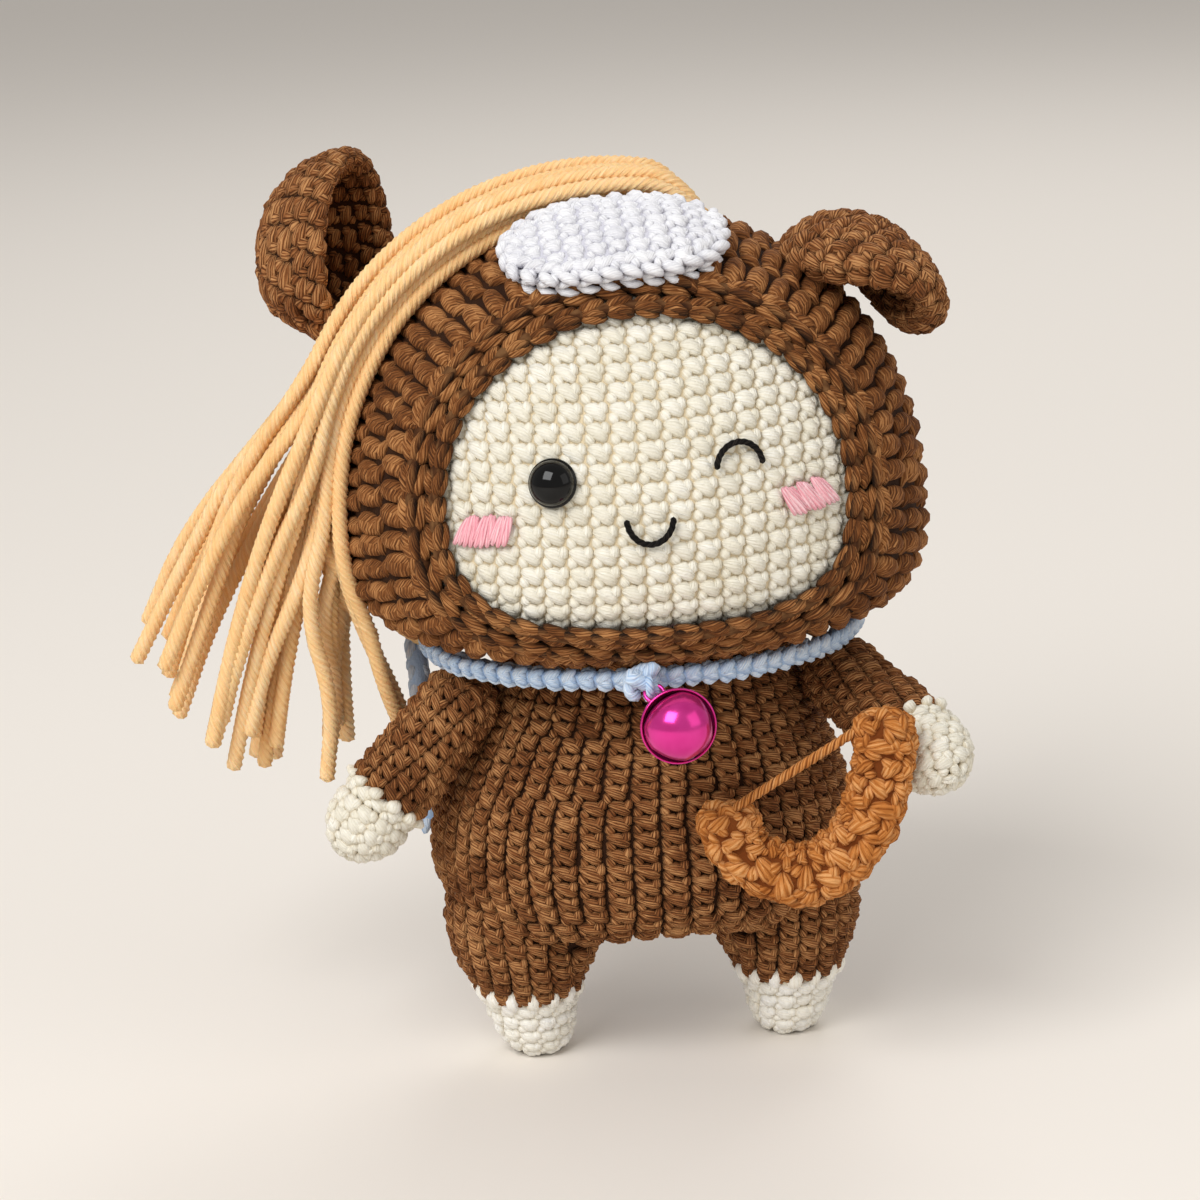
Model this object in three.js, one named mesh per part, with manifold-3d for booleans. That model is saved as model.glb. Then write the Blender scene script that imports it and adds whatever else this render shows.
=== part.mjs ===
// Crocheted doll in a hooded animal suit: stuffed body, arms and legs, a round head in a thick hood
// with two curled ears, a mane of yarn, a tied cord collar with a round bell, and a yarn horseshoe.
// Millimetres, +Z up. The doll stands on its two soles and faces -Y, so its right side is at -X.
import * as THREE from "three";
import { mergeVertices } from "three/addons/utils/BufferGeometryUtils.js";
import Module from "manifold-3d";

const wasm = await Module();
wasm.setup();

// Fits
const gap = 0.3;
const skin = 2.5;
const weld = 0.001;
const overrun = 5;

// Heights of the stack, from the floor up
const footHeight = 10.8;
const legHeight = 13.2;
const torsoHeight = 50.7;
const headLowerHeight = 21.8;
const headUpperHeight = 52;

const crotchZ = footHeight + legHeight;
const torsoTopZ = crotchZ + torsoHeight;
const headMidZ = torsoTopZ + gap + headLowerHeight;

// Head and hood
const headHalfWidth = 50.6;
const headHalfDepth = 44.5;
const headUpperPower = 2.1;
const headLowerPower = 3.6;
const hoodThickness = 4.2;
const ballLift = -(hoodThickness + gap);
const headStuffingLift = ballLift - skin - gap;
const neckRadius = 12;
const neckRise = 10;
const neckClearance = 1.2;

// Face opening, an egg that is wider below
const faceX = -1.1;
const faceLift = 7;
const faceHalfWidth = 33.2;
const faceAbove = 30.9;
const faceBelow = 17.4;
const faceUpperPower = 2.1;
const faceLowerPower = 3;
const innerRimRadius = 1.6;
const outerRimRadius = 2.3;

// Face
const eyeAside = -16;
const eyeRise = 6.4;
const eyeRadius = 4;
const eyeHeight = 3.1;
const eyeFlange = 0.6;
const eyePostRadius = 1.2;
const eyePostLength = 6.4;
const washerRadius = 4.1;
const washerThickness = 1;
const washerSeat = 0.8;
const lineRadius = 0.6;
const winkAside = 14.4;
const winkRise = 7.2;
const winkHalfWidth = 3.9;
const winkHeight = 4;
const mouthAside = -1;
const mouthRise = 0.5;
const mouthHalfWidth = 3.8;
const mouthDepth = 4.3;
const cheekAsides = { right: -27.2, left: 26.4 };
const cheekRises = { right: -1.7, left: 0.6 };
const cheekHalfLength = 4.7;
const cheekHalfHeight = 2.9;
const cheekThickness = 1.1;

// Patch on the brow of the hood
const patchAside = -3.3;
const patchFront = 16.1;
const patchHalfLength = 20;
const patchHalfWidth = 12.3;
const patchThickness = 3.4;

// Ears: round pads, curled over
const earRadius = 17;
const earThickness = 4.8;
const earCurlRadius = 9.4;
const earAsides = { right: -47.5, left: 40.5 };
const earBacks = { right: 21.5, left: -3 };
const earRises = { right: 44, left: 35.8 };
const earAxes = { right: [-0.2, 0.12, 1], left: [0.28, -0.94, -0.18] };
const earOpenings = { right: [0.86, -0.51, 0], left: [-0.42, 0, -0.91] };
const earFoot = 18;

// Torso
const hipHalfWidth = 36.6;
const hipHalfDepth = 26.5;
const torsoWidthShares = [
  [0, 0.62], [0.02, 0.8], [0.06, 0.91], [0.12, 0.965], [0.2, 0.993], [0.27, 1], [0.4, 0.985],
  [0.5, 0.955], [0.62, 0.895], [0.74, 0.82], [0.84, 0.762], [0.93, 0.712], [1, 0.64],
];
const torsoDepthShares = [
  [0, 0.66], [0.02, 0.82], [0.06, 0.91], [0.12, 0.96], [0.2, 0.99], [0.27, 1], [0.4, 0.995],
  [0.5, 0.98], [0.62, 0.945], [0.74, 0.9], [0.84, 0.855], [0.93, 0.81], [1, 0.74],
];

// Legs and feet, measured to the middle of each leg
const legSpread = 23.4;
const footSpread = 22.4;
const legForward = 3;
const legHalfWidth = 12.6;
const legHalfDepth = 14;
const legWidthShares = [
  [0, 0.5], [0.03, 0.56], [0.1, 0.6], [0.22, 0.645], [0.36, 0.68], [0.45, 0.74], [0.6, 0.85],
  [0.75, 0.93], [0.9, 0.985], [1.05, 1], [1.4, 1.01],
];

// Arms
const armRadius = 6.5;
const cuffRadius = 7.4;
const sleeveLength = 20.2;
const handLength = 13;
const handRadius = 7.4;
const handRise = 4.5;
const armSkin = 2;
const shoulderDrop = 8.2;
const shoulderForward = 9;
const shoulderClearance = 1;
const armDirections = { right: [-0.672, -0.122, -0.731], left: [0.46, -0.81, -0.363] };

// Collar, its knots and the bell
const collarRadius = 2.2;
const collarReachShare = 0.71;
const knotTubeRadius = 0.7;
const knotEyeRadius = 1.6;
const knotAside = -3.4;
const knotDirection = [0, -0.99, 0.14];
const backKnotRadius = 2.8;
const backKnotAngle = 156;
const tailRadius = 1.8;
const longTailLength = 36;
const shortTailLength = 31;
const bellRadius = 6.2;
const bellWall = 0.6;
const bellSeamWidth = 0.7;
const bellSeamHeight = 0.8;
const bellSlotWidth = 1.2;
const bellSlotLengthShare = 1.44;
const bellSlotHeightShare = 2;
const bellSlotLiftShare = 1.4;
const bellHole = 1.6;
const bellLoopRadius = 1.6;
const bellLoopWire = 0.35;
const bellDirection = [0.5, -0.62, -0.6];
const pelletRadius = 2.1;
const pelletDrop = 2.9;

// Horseshoe
const horseshoeRadius = 15.2;
const horseshoeWidth = 11;
const horseshoeThickness = 6;
const horseshoeTilt = 28;
const horseshoeTurn = -13;
const horseshoeGripAngle = -32;
const horseshoeGripTurn = 47;
const stringRadius = 0.9;
const stringRise = 2;

// Mane
const strandRadius = 1.3;
const strandClearance = 0.6;
const strandLanes = 6;
const strandLayers = 3;
const strandRootAngle = 72;
const laneFront = 3;
const laneFrontSide = -7;
const laneFrontEnd = 1;
const lanePitch = 3.15;
const lanePitchEnd = 4.6;
const fanX = -36;
const fanRise = 25;
const fanRadius = 65;
const leaveAngleFirst = 186;
const leaveAngleLast = 150;
const fanInnerAngle = -100;
const fanOuterAngle = -143;

// Facets
const headFacets = 28;
const headLevels = 6;
const roundFacets = 24;
const smallFacets = 16;
const wireFacets = 6;
const ringSteps = 36;
const strandStops = 5;
const strandSteps = 11;
const lineStops = 6;
const lineSteps = 12;
const tailSteps = 5;
const tailFacets = 8;
const padFacets = 12;

const degree = Math.PI / 180;
const up = new THREE.Vector3(0, 0, 1);

const yarn = (color) => new THREE.MeshStandardMaterial({ color, roughness: 0.9, metalness: 0 });
const brownYarn = yarn(0x6b452b);
const creamYarn = yarn(0xf3ecd2);
const whiteYarn = yarn(0xf4f4f6);
const blondYarn = yarn(0xe9bb78);
const blueYarn = yarn(0x9fc3ea);
const pinkYarn = yarn(0xee95a4);
const blackYarn = yarn(0x1b1716);
const rustYarn = yarn(0xa35c24);
const fill = yarn(0xeeeeea);
const blackPlastic = new THREE.MeshStandardMaterial({ color: 0x08080a, roughness: 0.1, metalness: 0 });
const clearPlastic = new THREE.MeshStandardMaterial({ color: 0xd8d8d4, roughness: 0.4, metalness: 0 });
const magentaMetal = new THREE.MeshStandardMaterial({ color: 0xd0148c, roughness: 0.2, metalness: 1 });
const steel = new THREE.MeshStandardMaterial({ color: 0xb8b8ba, roughness: 0.3, metalness: 1 });

// Solids from geometries and back
function solid(geometry) {
  const plain = new THREE.BufferGeometry();
  const flat = geometry.index ? geometry.toNonIndexed() : geometry;
  plain.setAttribute("position", flat.getAttribute("position").clone());
  const merged = mergeVertices(plain, weld);
  return new wasm.Manifold(
    new wasm.Mesh({
      numProp: 3,
      vertProperties: merged.getAttribute("position").array,
      triVerts: new Uint32Array(merged.index.array),
    }),
  );
}

function geometryOf(made) {
  const { numProp, vertProperties, triVerts } = made.getMesh();
  const places = new Float32Array((vertProperties.length / numProp) * 3);
  for (let i = 0; i < places.length / 3; i++) {
    places.set(vertProperties.subarray(i * numProp, i * numProp + 3), i * 3);
  }
  const geometry = new THREE.BufferGeometry();
  geometry.setAttribute("position", new THREE.BufferAttribute(places, 3));
  geometry.setIndex(new THREE.BufferAttribute(new Uint32Array(triVerts), 1));
  geometry.computeVertexNormals();
  return geometry;
}

function add(group, name, shape, material) {
  const geometry = shape.isBufferGeometry ? geometryOf(solid(shape)) : geometryOf(shape);
  const mesh = new THREE.Mesh(geometry, material);
  mesh.name = name;
  group.add(mesh);
  return mesh;
}

// Moves every vertex of a geometry to place(x, y, z).
function shaped(geometry, place) {
  const position = geometry.getAttribute("position");
  for (let i = 0; i < position.count; i++) {
    const to = place(position.getX(i), position.getY(i), position.getZ(i));
    position.setXYZ(i, to.x, to.y, to.z);
  }
  return geometry;
}

// A solid turned about Z from an outline of [radius, height], listed from the bottom up.
function turned(outline, facets = roundFacets) {
  const points = outline.map(([radius, height]) => new THREE.Vector2(radius, height));
  return new THREE.LatheGeometry(points, facets).rotateX(Math.PI / 2);
}

function box(width, depth, height) {
  return new THREE.BoxGeometry(width, depth, height);
}

function rod(radius, length, facets = smallFacets) {
  return new THREE.CylinderGeometry(radius, radius, length, facets).rotateX(Math.PI / 2);
}

// Value at a share of the height, between the rows of a table of shares.
function valueAt(shares, at) {
  const next = shares.findIndex(([share]) => share >= at);
  if (next < 0) return shares[shares.length - 1][1];
  if (next === 0) return shares[0][1];
  const [lowShare, low] = shares[next - 1];
  const [highShare, high] = shares[next];
  return THREE.MathUtils.mapLinear(at, lowShare, highShare, low, high);
}

function tube(points, radius, steps, sides = wireFacets) {
  const circle = new THREE.Path().absarc(0, 0, radius, 0, 2 * Math.PI);
  const section = new THREE.Shape(circle.getPoints(sides / 2));
  const path = new THREE.CatmullRomCurve3(points);
  return new THREE.ExtrudeGeometry(section, { steps, extrudePath: path });
}

// A closed tube whose middle follows centre(angle); side says which way the section faces.
function ring(centre, radius, side, steps = ringSteps, sides = wireFacets) {
  const unit = new THREE.TorusGeometry(1, 0.5, sides, steps);
  const step = 0.01;
  return shaped(unit, (x, y, z) => {
    const around = Math.atan2(y, x);
    const within = Math.atan2(z, Math.hypot(x, y) - 1);
    const middle = centre(around);
    const along = centre(around + step).sub(centre(around - step)).normalize();
    const rise = side.clone().addScaledVector(along, -side.dot(along)).normalize();
    const out = along.clone().cross(rise);
    return middle
      .addScaledVector(out, radius * Math.cos(within))
      .addScaledVector(rise, radius * Math.sin(within));
  });
}

// Head surface, raised by lift: a round form that is flatter below.
const headCentre = new THREE.Vector3(0, 0, headMidZ);

function headSizes(lift, below) {
  return {
    width: headHalfWidth + lift,
    depth: headHalfDepth + lift,
    height: (below ? headLowerHeight : headUpperHeight) + lift,
    power: below ? headLowerPower : headUpperPower,
  };
}

function headPoint(direction, lift) {
  const { width, depth, height, power } = headSizes(lift, direction.z < 0);
  const across = Math.hypot(direction.x / width, direction.y / depth);
  const upright = Math.abs(direction.z) / height;
  const reach = (across ** power + upright ** power) ** (-1 / power);
  return direction.clone().multiplyScalar(reach).add(headCentre);
}

// The front of the head surface at x and z.
function facePoint(x, z, lift) {
  const { width, depth, height, power } = headSizes(lift, z < headMidZ);
  const upright = Math.abs(z - headMidZ) / height;
  const level = Math.max(1 - upright ** power, 0) ** (1 / power);
  const y = -depth * Math.sqrt(Math.max(level ** 2 - (x / width) ** 2, 0));
  return new THREE.Vector3(x, y, z);
}

// A place on the head at u sideways and v upwards from a middle place.
function headPatchPoint(middle, u, v, lift) {
  const out = middle.clone().sub(headCentre);
  const sideways = new THREE.Vector3(1, 0, 0).addScaledVector(out, -out.x / out.lengthSq()).normalize();
  const upwards = out.clone().cross(sideways).normalize();
  return headPoint(out.addScaledVector(sideways, u).addScaledVector(upwards, v), lift);
}

function headSolid(lift) {
  const outline = [];
  for (let i = -headLevels; i <= headLevels; i++) {
    const { width, height, power } = headSizes(lift, i < 0);
    const angle = ((i / headLevels) * Math.PI) / 2;
    const radius = Math.abs(i) === headLevels ? 0 : width * Math.cos(angle) ** (2 / power);
    outline.push([radius, Math.sign(i) * height * Math.abs(Math.sin(angle)) ** (2 / power)]);
  }
  const { width, depth } = headSizes(lift, false);
  return solid(turned(outline, headFacets).scale(1, depth / width, 1).translate(0, 0, headMidZ));
}

// Egg outline of the face opening, widened all round by more.
function eggPoint(angle, more) {
  const above = Math.sin(angle) >= 0;
  const power = above ? faceUpperPower : faceLowerPower;
  const height = (above ? faceAbove : faceBelow) + more;
  const cosine = Math.cos(angle);
  const sine = Math.sin(angle);
  return new THREE.Vector2(
    faceX + Math.sign(cosine) * Math.abs(cosine) ** (2 / power) * (faceHalfWidth + more),
    headMidZ + faceLift + Math.sign(sine) * Math.abs(sine) ** (2 / power) * height,
  );
}

const rims = {
  inner: { radius: innerRimRadius, at: innerRimRadius },
  outer: { radius: outerRimRadius, at: 2 * innerRimRadius + gap + outerRimRadius },
};
const hoodCutAt = rims.outer.at + outerRimRadius + gap;

function faceCutter() {
  const points = [];
  for (let i = 0; i < ringSteps; i++) {
    points.push(eggPoint((i / ringSteps) * 2 * Math.PI, hoodCutAt));
  }
  const depth = headHalfDepth + overrun;
  const egg = new THREE.ExtrudeGeometry(new THREE.Shape(points), { depth, bevelEnabled: false });
  return solid(egg.rotateX(Math.PI / 2));
}

// Head: crocheted ball with its stuffing, inside the hood
const neckHole = neckRadius + neckClearance;
const neckTopZ = headMidZ - headLowerHeight + neckRise;
const eyeMiddle = facePoint(faceX + eyeAside, headMidZ + faceLift + eyeRise, ballLift);

// Turns a geometry along Z so that it points out of the face at a place.
function pointedOut(geometry, middle) {
  const ahead = 0.5;
  const right = facePoint(middle.x + ahead * skin, middle.z, ballLift);
  const above = facePoint(middle.x, middle.z + ahead * skin, ballLift);
  const out = right.sub(middle).cross(above.sub(middle)).normalize();
  geometry.applyQuaternion(new THREE.Quaternion().setFromUnitVectors(up, out));
  return geometry.translate(middle.x, middle.y, middle.z);
}

function neckCutter(radius) {
  return solid(rod(radius, 2 * headLowerHeight, roundFacets).translate(0, 0, headMidZ - headLowerHeight));
}

function addHead(head) {
  const ballOuter = headSolid(ballLift);
  const ballInner = headSolid(ballLift - skin);
  const eyeHole = solid(pointedOut(rod(eyePostRadius + gap, 4 * skin), eyeMiddle));
  const ball = ballOuter.subtract(ballInner).subtract(neckCutter(neckHole)).subtract(eyeHole);
  add(head, "head_ball", ball, creamYarn);

  const washerDepth = skin + washerSeat + washerThickness;
  const pocketDepth = Math.max(eyePostLength, washerDepth) + 2 * gap;
  const pocket = rod(washerRadius + 2 * gap, pocketDepth).translate(0, 0, -pocketDepth / 2);
  const plugRoom = rod(neckRadius + gap, 2 * (neckRise + gap), roundFacets);
  plugRoom.translate(0, 0, headMidZ - headLowerHeight);
  const stuffing = headSolid(headStuffingLift)
    .subtract(solid(pointedOut(pocket, eyeMiddle)))
    .subtract(solid(plugRoom));
  add(head, "head_stuffing", stuffing, fill);

  const hoodInner = headSolid(-hoodThickness);
  const hood = headSolid(0).subtract(hoodInner).subtract(neckCutter(neckHole)).subtract(faceCutter());
  add(head, "hood", hood, brownYarn);

  const front = new THREE.Vector3(0, -1, 0);
  for (const [name, { radius, at }] of Object.entries(rims)) {
    const centre = (angle) => {
      const place = eggPoint(angle, at);
      return facePoint(place.x, place.y, ballLift + gap + radius);
    };
    add(head, `hood_rim_${name}`, ring(centre, radius, front), brownYarn);
  }
}

// Face: one safety eye, a stitched wink and smile, and blush stitches
function addFace(head) {
  const dome = [[0, -eyePostLength], [eyePostRadius, -eyePostLength], [eyePostRadius, gap], [eyeRadius, gap]];
  dome.push([eyeRadius, gap + eyeFlange]);
  const domeShares = [[0.92, 0.35], [0.75, 0.65], [0.45, 0.9], [0, 1]];
  domeShares.forEach(([wide, high]) => {
    dome.push([wide * eyeRadius, gap + eyeFlange + high * (eyeHeight - eyeFlange)]);
  });
  add(head, "eye_bead", pointedOut(turned(dome, smallFacets), eyeMiddle), blackPlastic);

  const top = -skin - washerSeat;
  const bore = eyePostRadius + gap;
  const washer = [
    [bore, top - washerThickness], [washerRadius, top - washerThickness], [washerRadius, top],
    [bore, top], [bore, top - washerThickness],
  ];
  add(head, "eye_washer", pointedOut(turned(washer, smallFacets), eyeMiddle), clearPlastic);

  const lines = [
    ["wink_stitch", winkAside, winkRise, winkHalfWidth, winkHeight],
    ["mouth_stitch", mouthAside, mouthRise, mouthHalfWidth, -mouthDepth],
  ];
  for (const [name, aside, rise, halfWidth, height] of lines) {
    const points = [];
    for (let i = 0; i <= lineStops; i++) {
      const angle = (i / lineStops) * Math.PI;
      const x = faceX + aside - halfWidth * Math.cos(angle);
      const z = headMidZ + faceLift + rise + height * Math.sin(angle);
      points.push(facePoint(x, z, ballLift + gap + lineRadius));
    }
    add(head, name, tube(points, lineRadius, lineSteps), blackYarn);
  }

  const padShares = [[0, 0], [0.9, 0], [1, 0.35], [0.85, 0.85], [0.5, 1], [0, 1]];
  for (const side of ["right", "left"]) {
    const x = faceX + cheekAsides[side];
    const middle = facePoint(x, headMidZ + faceLift + cheekRises[side], ballLift);
    const cheek = shaped(turned(padShares, smallFacets), (u, v, high) => {
      const lift = ballLift + gap + high * cheekThickness;
      return headPatchPoint(middle, u * cheekHalfLength, v * cheekHalfHeight, lift);
    });
    add(head, `${side}_cheek`, cheek, pinkYarn);
  }
}

// Brow patch: an oval pad that follows the hood
function addPatch(head) {
  const padShares = [[0, 0], [0.5, 0], [0.93, 0], [1, 0.25], [0.96, 0.62], [0.8, 0.88], [0.45, 0.98], [0, 1]];
  const toMiddle = headPoint(new THREE.Vector3(patchAside, -patchFront, headUpperHeight), 0);
  const patch = shaped(turned(padShares), (u, v, high) => {
    const lift = gap + high * patchThickness;
    return headPatchPoint(toMiddle, u * patchHalfLength, v * patchHalfWidth, lift);
  });
  add(head, "brow_patch", patch, whiteYarn);
}

// Ears: a round pad curled about its own height, then turned into place and trimmed by the hood
function curledPad() {
  const half = earThickness / 2;
  const rim = earRadius - half;
  const edgeShares = [[0, -1], [0.7, -0.7], [1, 0], [0.7, 0.7], [0, 1]];
  const edge = edgeShares.map(([out, high]) => [rim + out * half, high * half]);
  const pad = [[0, -half], [earRadius / 2, -half], ...edge, [earRadius / 2, half], [0, half]];
  return shaped(turned(pad), (x, y, z) => {
    const angle = x / earCurlRadius;
    const reach = earCurlRadius - z;
    return new THREE.Vector3(reach * Math.sin(angle), y, earCurlRadius - reach * Math.cos(angle));
  });
}

function addEars(head) {
  const hoodRoom = headSolid(gap);
  for (const side of ["right", "left"]) {
    const axis = new THREE.Vector3(...earAxes[side]).normalize();
    const toward = new THREE.Vector3(...earOpenings[side]);
    const across = axis.clone().cross(toward).normalize();
    const turn = new THREE.Matrix4().makeBasis(across, axis, across.clone().cross(axis));
    const ear = curledPad().translate(0, 0, -earCurlRadius).applyMatrix4(turn);
    const foot = new THREE.Vector3(earAsides[side], 0, 0).normalize().multiplyScalar(-earFoot);
    shaped(ear, (x, y, z) => {
      const place = new THREE.Vector3(x, y, z);
      const low = Math.max(-place.dot(axis), 0) / earRadius;
      return side === "right" ? place.addScaledVector(foot, low ** 2) : place;
    });
    ear.translate(earAsides[side], earBacks[side], headMidZ + earRises[side]);
    add(head, `${side}_ear`, solid(ear).subtract(hoodRoom), brownYarn);
  }
}

// Mane: strands of yarn in lanes and layers over the crown, which fan out at the doll's right
function strandPoints(lane, layer) {
  const lift = strandClearance + strandRadius + layer * (2 * strandRadius + gap);
  const share = (layer * strandLanes + lane) / (strandLanes * strandLayers - 1);
  const laneY = (front, pitch) => front + lane * pitch;
  const leaveAngle = THREE.MathUtils.lerp(leaveAngleFirst, leaveAngleLast, share) * degree;
  const points = [];
  for (let i = 0; i <= strandStops; i++) {
    const along = i / strandStops;
    const angle = THREE.MathUtils.lerp(strandRootAngle * degree, leaveAngle, along);
    const y = THREE.MathUtils.lerp(laneY(laneFront, lanePitch), laneY(laneFrontSide, lanePitch), along);
    const direction = new THREE.Vector3(Math.cos(angle), y / headUpperHeight, Math.sin(angle));
    points.push(headPoint(direction, lift));
  }
  const fanAngle = THREE.MathUtils.lerp(fanInnerAngle, fanOuterAngle, share) * degree;
  const endX = fanX + fanRadius * Math.cos(fanAngle);
  const endZ = headMidZ + fanRise + fanRadius * Math.sin(fanAngle);
  const end = new THREE.Vector3(endX, laneY(laneFrontEnd, lanePitchEnd), endZ);
  const last = points[points.length - 1];
  points.push(last.clone().lerp(end, 0.5));
  points.push(end);
  return points;
}

function addMane(head) {
  for (let layer = 0; layer < strandLayers; layer++) {
    for (let lane = 0; lane < strandLanes; lane++) {
      const number = String(layer * strandLanes + lane + 1).padStart(2, "0");
      const strand = tube(strandPoints(lane, layer), strandRadius, strandSteps);
      add(head, `mane_strand_${number}`, strand, blondYarn);
    }
  }
}

// Torso outline at a height
function torsoHalf(z, inset) {
  const at = (z - crotchZ) / torsoHeight;
  return {
    width: hipHalfWidth * valueAt(torsoWidthShares, at) - inset,
    depth: hipHalfDepth * valueAt(torsoDepthShares, at) - inset,
  };
}

function torsoSolid(inset, facets = roundFacets, capZ = torsoTopZ) {
  const outline = [[0, crotchZ + inset]];
  for (const [share] of torsoWidthShares) {
    const z = crotchZ + share * torsoHeight;
    outline.push([torsoHalf(z, inset).width, Math.min(Math.max(z, crotchZ + inset), capZ)]);
  }
  outline.push([0, outline[outline.length - 1][1]]);
  return solid(
    shaped(turned(outline, facets), (x, y, z) => {
      const { width, depth } = torsoHalf(z, inset);
      return new THREE.Vector3(x, (y * depth) / width, z);
    }),
  );
}

// Leg outline from the sole up into the torso, as one round form
function legSolid(side, inset, facets = 24) {
  const outline = [[0, inset]];
  for (const [share, wide] of legWidthShares) {
    outline.push([wide * legHalfWidth - inset, Math.max(share * crotchZ, inset)]);
  }
  const top = legWidthShares[legWidthShares.length - 1][0] * crotchZ;
  outline.push([0, top]);
  return solid(
    shaped(turned(outline, facets), (x, y, z) => {
      const spread = THREE.MathUtils.mapLinear(z, 0, crotchZ, footSpread, legSpread);
      return new THREE.Vector3(side * spread + x, (y * legHalfDepth) / legHalfWidth - legForward, z);
    }),
  );
}

function addBody(body) {
  const hollow = torsoSolid(skin, roundFacets, torsoTopZ - skin);
  const neckOpening = solid(rod(neckRadius + gap, 4 * skin, roundFacets).translate(0, 0, torsoTopZ));
  add(body, "torso", torsoSolid(0).subtract(hollow).subtract(neckOpening), brownYarn);

  const plugHeight = neckTopZ - gap - crotchZ - torsoHeight / 2;
  const plug = rod(neckRadius, plugHeight, roundFacets).translate(0, 0, neckTopZ - gap - plugHeight / 2);
  const bodyFill = torsoSolid(skin + gap, roundFacets, torsoTopZ - skin - gap).add(solid(plug));
  add(body, "body_stuffing", bodyFill, fill);

  const torsoRoom = torsoSolid(-gap);
  const wide = 4 * hipHalfWidth;
  const above = solid(box(wide, wide, wide).translate(0, 0, footHeight + gap + wide / 2));
  const below = solid(box(wide, wide, wide).translate(0, 0, footHeight - wide / 2));
  for (const [name, side] of [["right", -1], ["left", 1]]) {
    const outer = legSolid(side, 0);
    const hollow = legSolid(side, skin, 16);
    const shell = outer.subtract(hollow);
    add(body, `${name}_leg`, shell.intersect(above).subtract(torsoRoom), brownYarn);
    add(body, `${name}_foot`, shell.intersect(below), creamYarn);
    const core = legSolid(side, skin + gap, 14).subtract(torsoRoom);
    add(body, `${name}_leg_stuffing`, core, fill);
  }
}

// Arms: a sleeve, a hand and the stuffing inside, drawn along Z and then turned to hang
const shoulderZ = torsoTopZ - shoulderDrop;

function shoulder(side) {
  const { width, depth } = torsoHalf(shoulderZ, 0);
  const reach = width * Math.sqrt(1 - (shoulderForward / depth) ** 2);
  return new THREE.Vector3(side * (reach + shoulderClearance + armRadius), -shoulderForward, shoulderZ);
}

function roundStart(radius) {
  const quarterShares = [[0, -1], [0.5, -0.866], [0.866, -0.5], [1, 0]];
  return quarterShares.map(([wide, high]) => [wide * radius, high * radius]);
}

function handOutline(inset) {
  const halfLength = handLength - handRise;
  const middle = sleeveLength + handRise;
  const points = [];
  const lengthShares = [-0.25, 0, 0.3, 0.55, 0.78, 0.93, 1];
  for (const share of lengthShares) {
    const radius = (handRadius - inset) * Math.sqrt(1 - share ** 2);
    points.push([radius, middle + share * (halfLength - inset)]);
  }
  return points;
}

function addArm(arm, name, direction) {
  const limb = new THREE.Group();
  limb.quaternion.setFromUnitVectors(up, new THREE.Vector3(...direction).normalize());
  arm.add(limb);

  const sleeveOuter = [...roundStart(armRadius), [armRadius, sleeveLength / 3], [cuffRadius, sleeveLength]];
  const innerCuff = [cuffRadius - armSkin, sleeveLength];
  const innerStart = roundStart(armRadius - armSkin).reverse();
  const sleeve = [...sleeveOuter, innerCuff, [armRadius - armSkin, sleeveLength / 3], ...innerStart];
  add(limb, `${name}_sleeve`, turned(sleeve, smallFacets), brownYarn);

  const wristZ = sleeveLength + gap;
  const inside = [[cuffRadius - armSkin, wristZ], ...handOutline(armSkin)];
  const hand = [...inside.reverse(), [cuffRadius, wristZ], ...handOutline(0)];
  add(limb, `${name}_hand`, turned(hand, smallFacets), creamYarn);

  const coreRadius = armRadius - armSkin - gap;
  const coreEnd = handOutline(armSkin + gap);
  const stuffing = [...roundStart(coreRadius), [coreRadius, sleeveLength / 3], ...coreEnd];
  add(limb, `${name}_arm_stuffing`, turned(stuffing, padFacets), fill);
}

// Horseshoe: a round-ended pad bent on a half circle, with a string between its ends
function horseshoeFrame() {
  const tilt = horseshoeTilt * degree;
  const across = new THREE.Vector3(Math.cos(tilt), 0, Math.sin(tilt));
  across.applyAxisAngle(up, horseshoeTurn * degree);
  const facing = new THREE.Vector3(0, -1, 0).applyAxisAngle(up, horseshoeTurn * degree);
  const opening = across.clone().cross(facing).negate();
  return { across, opening, facing };
}

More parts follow.
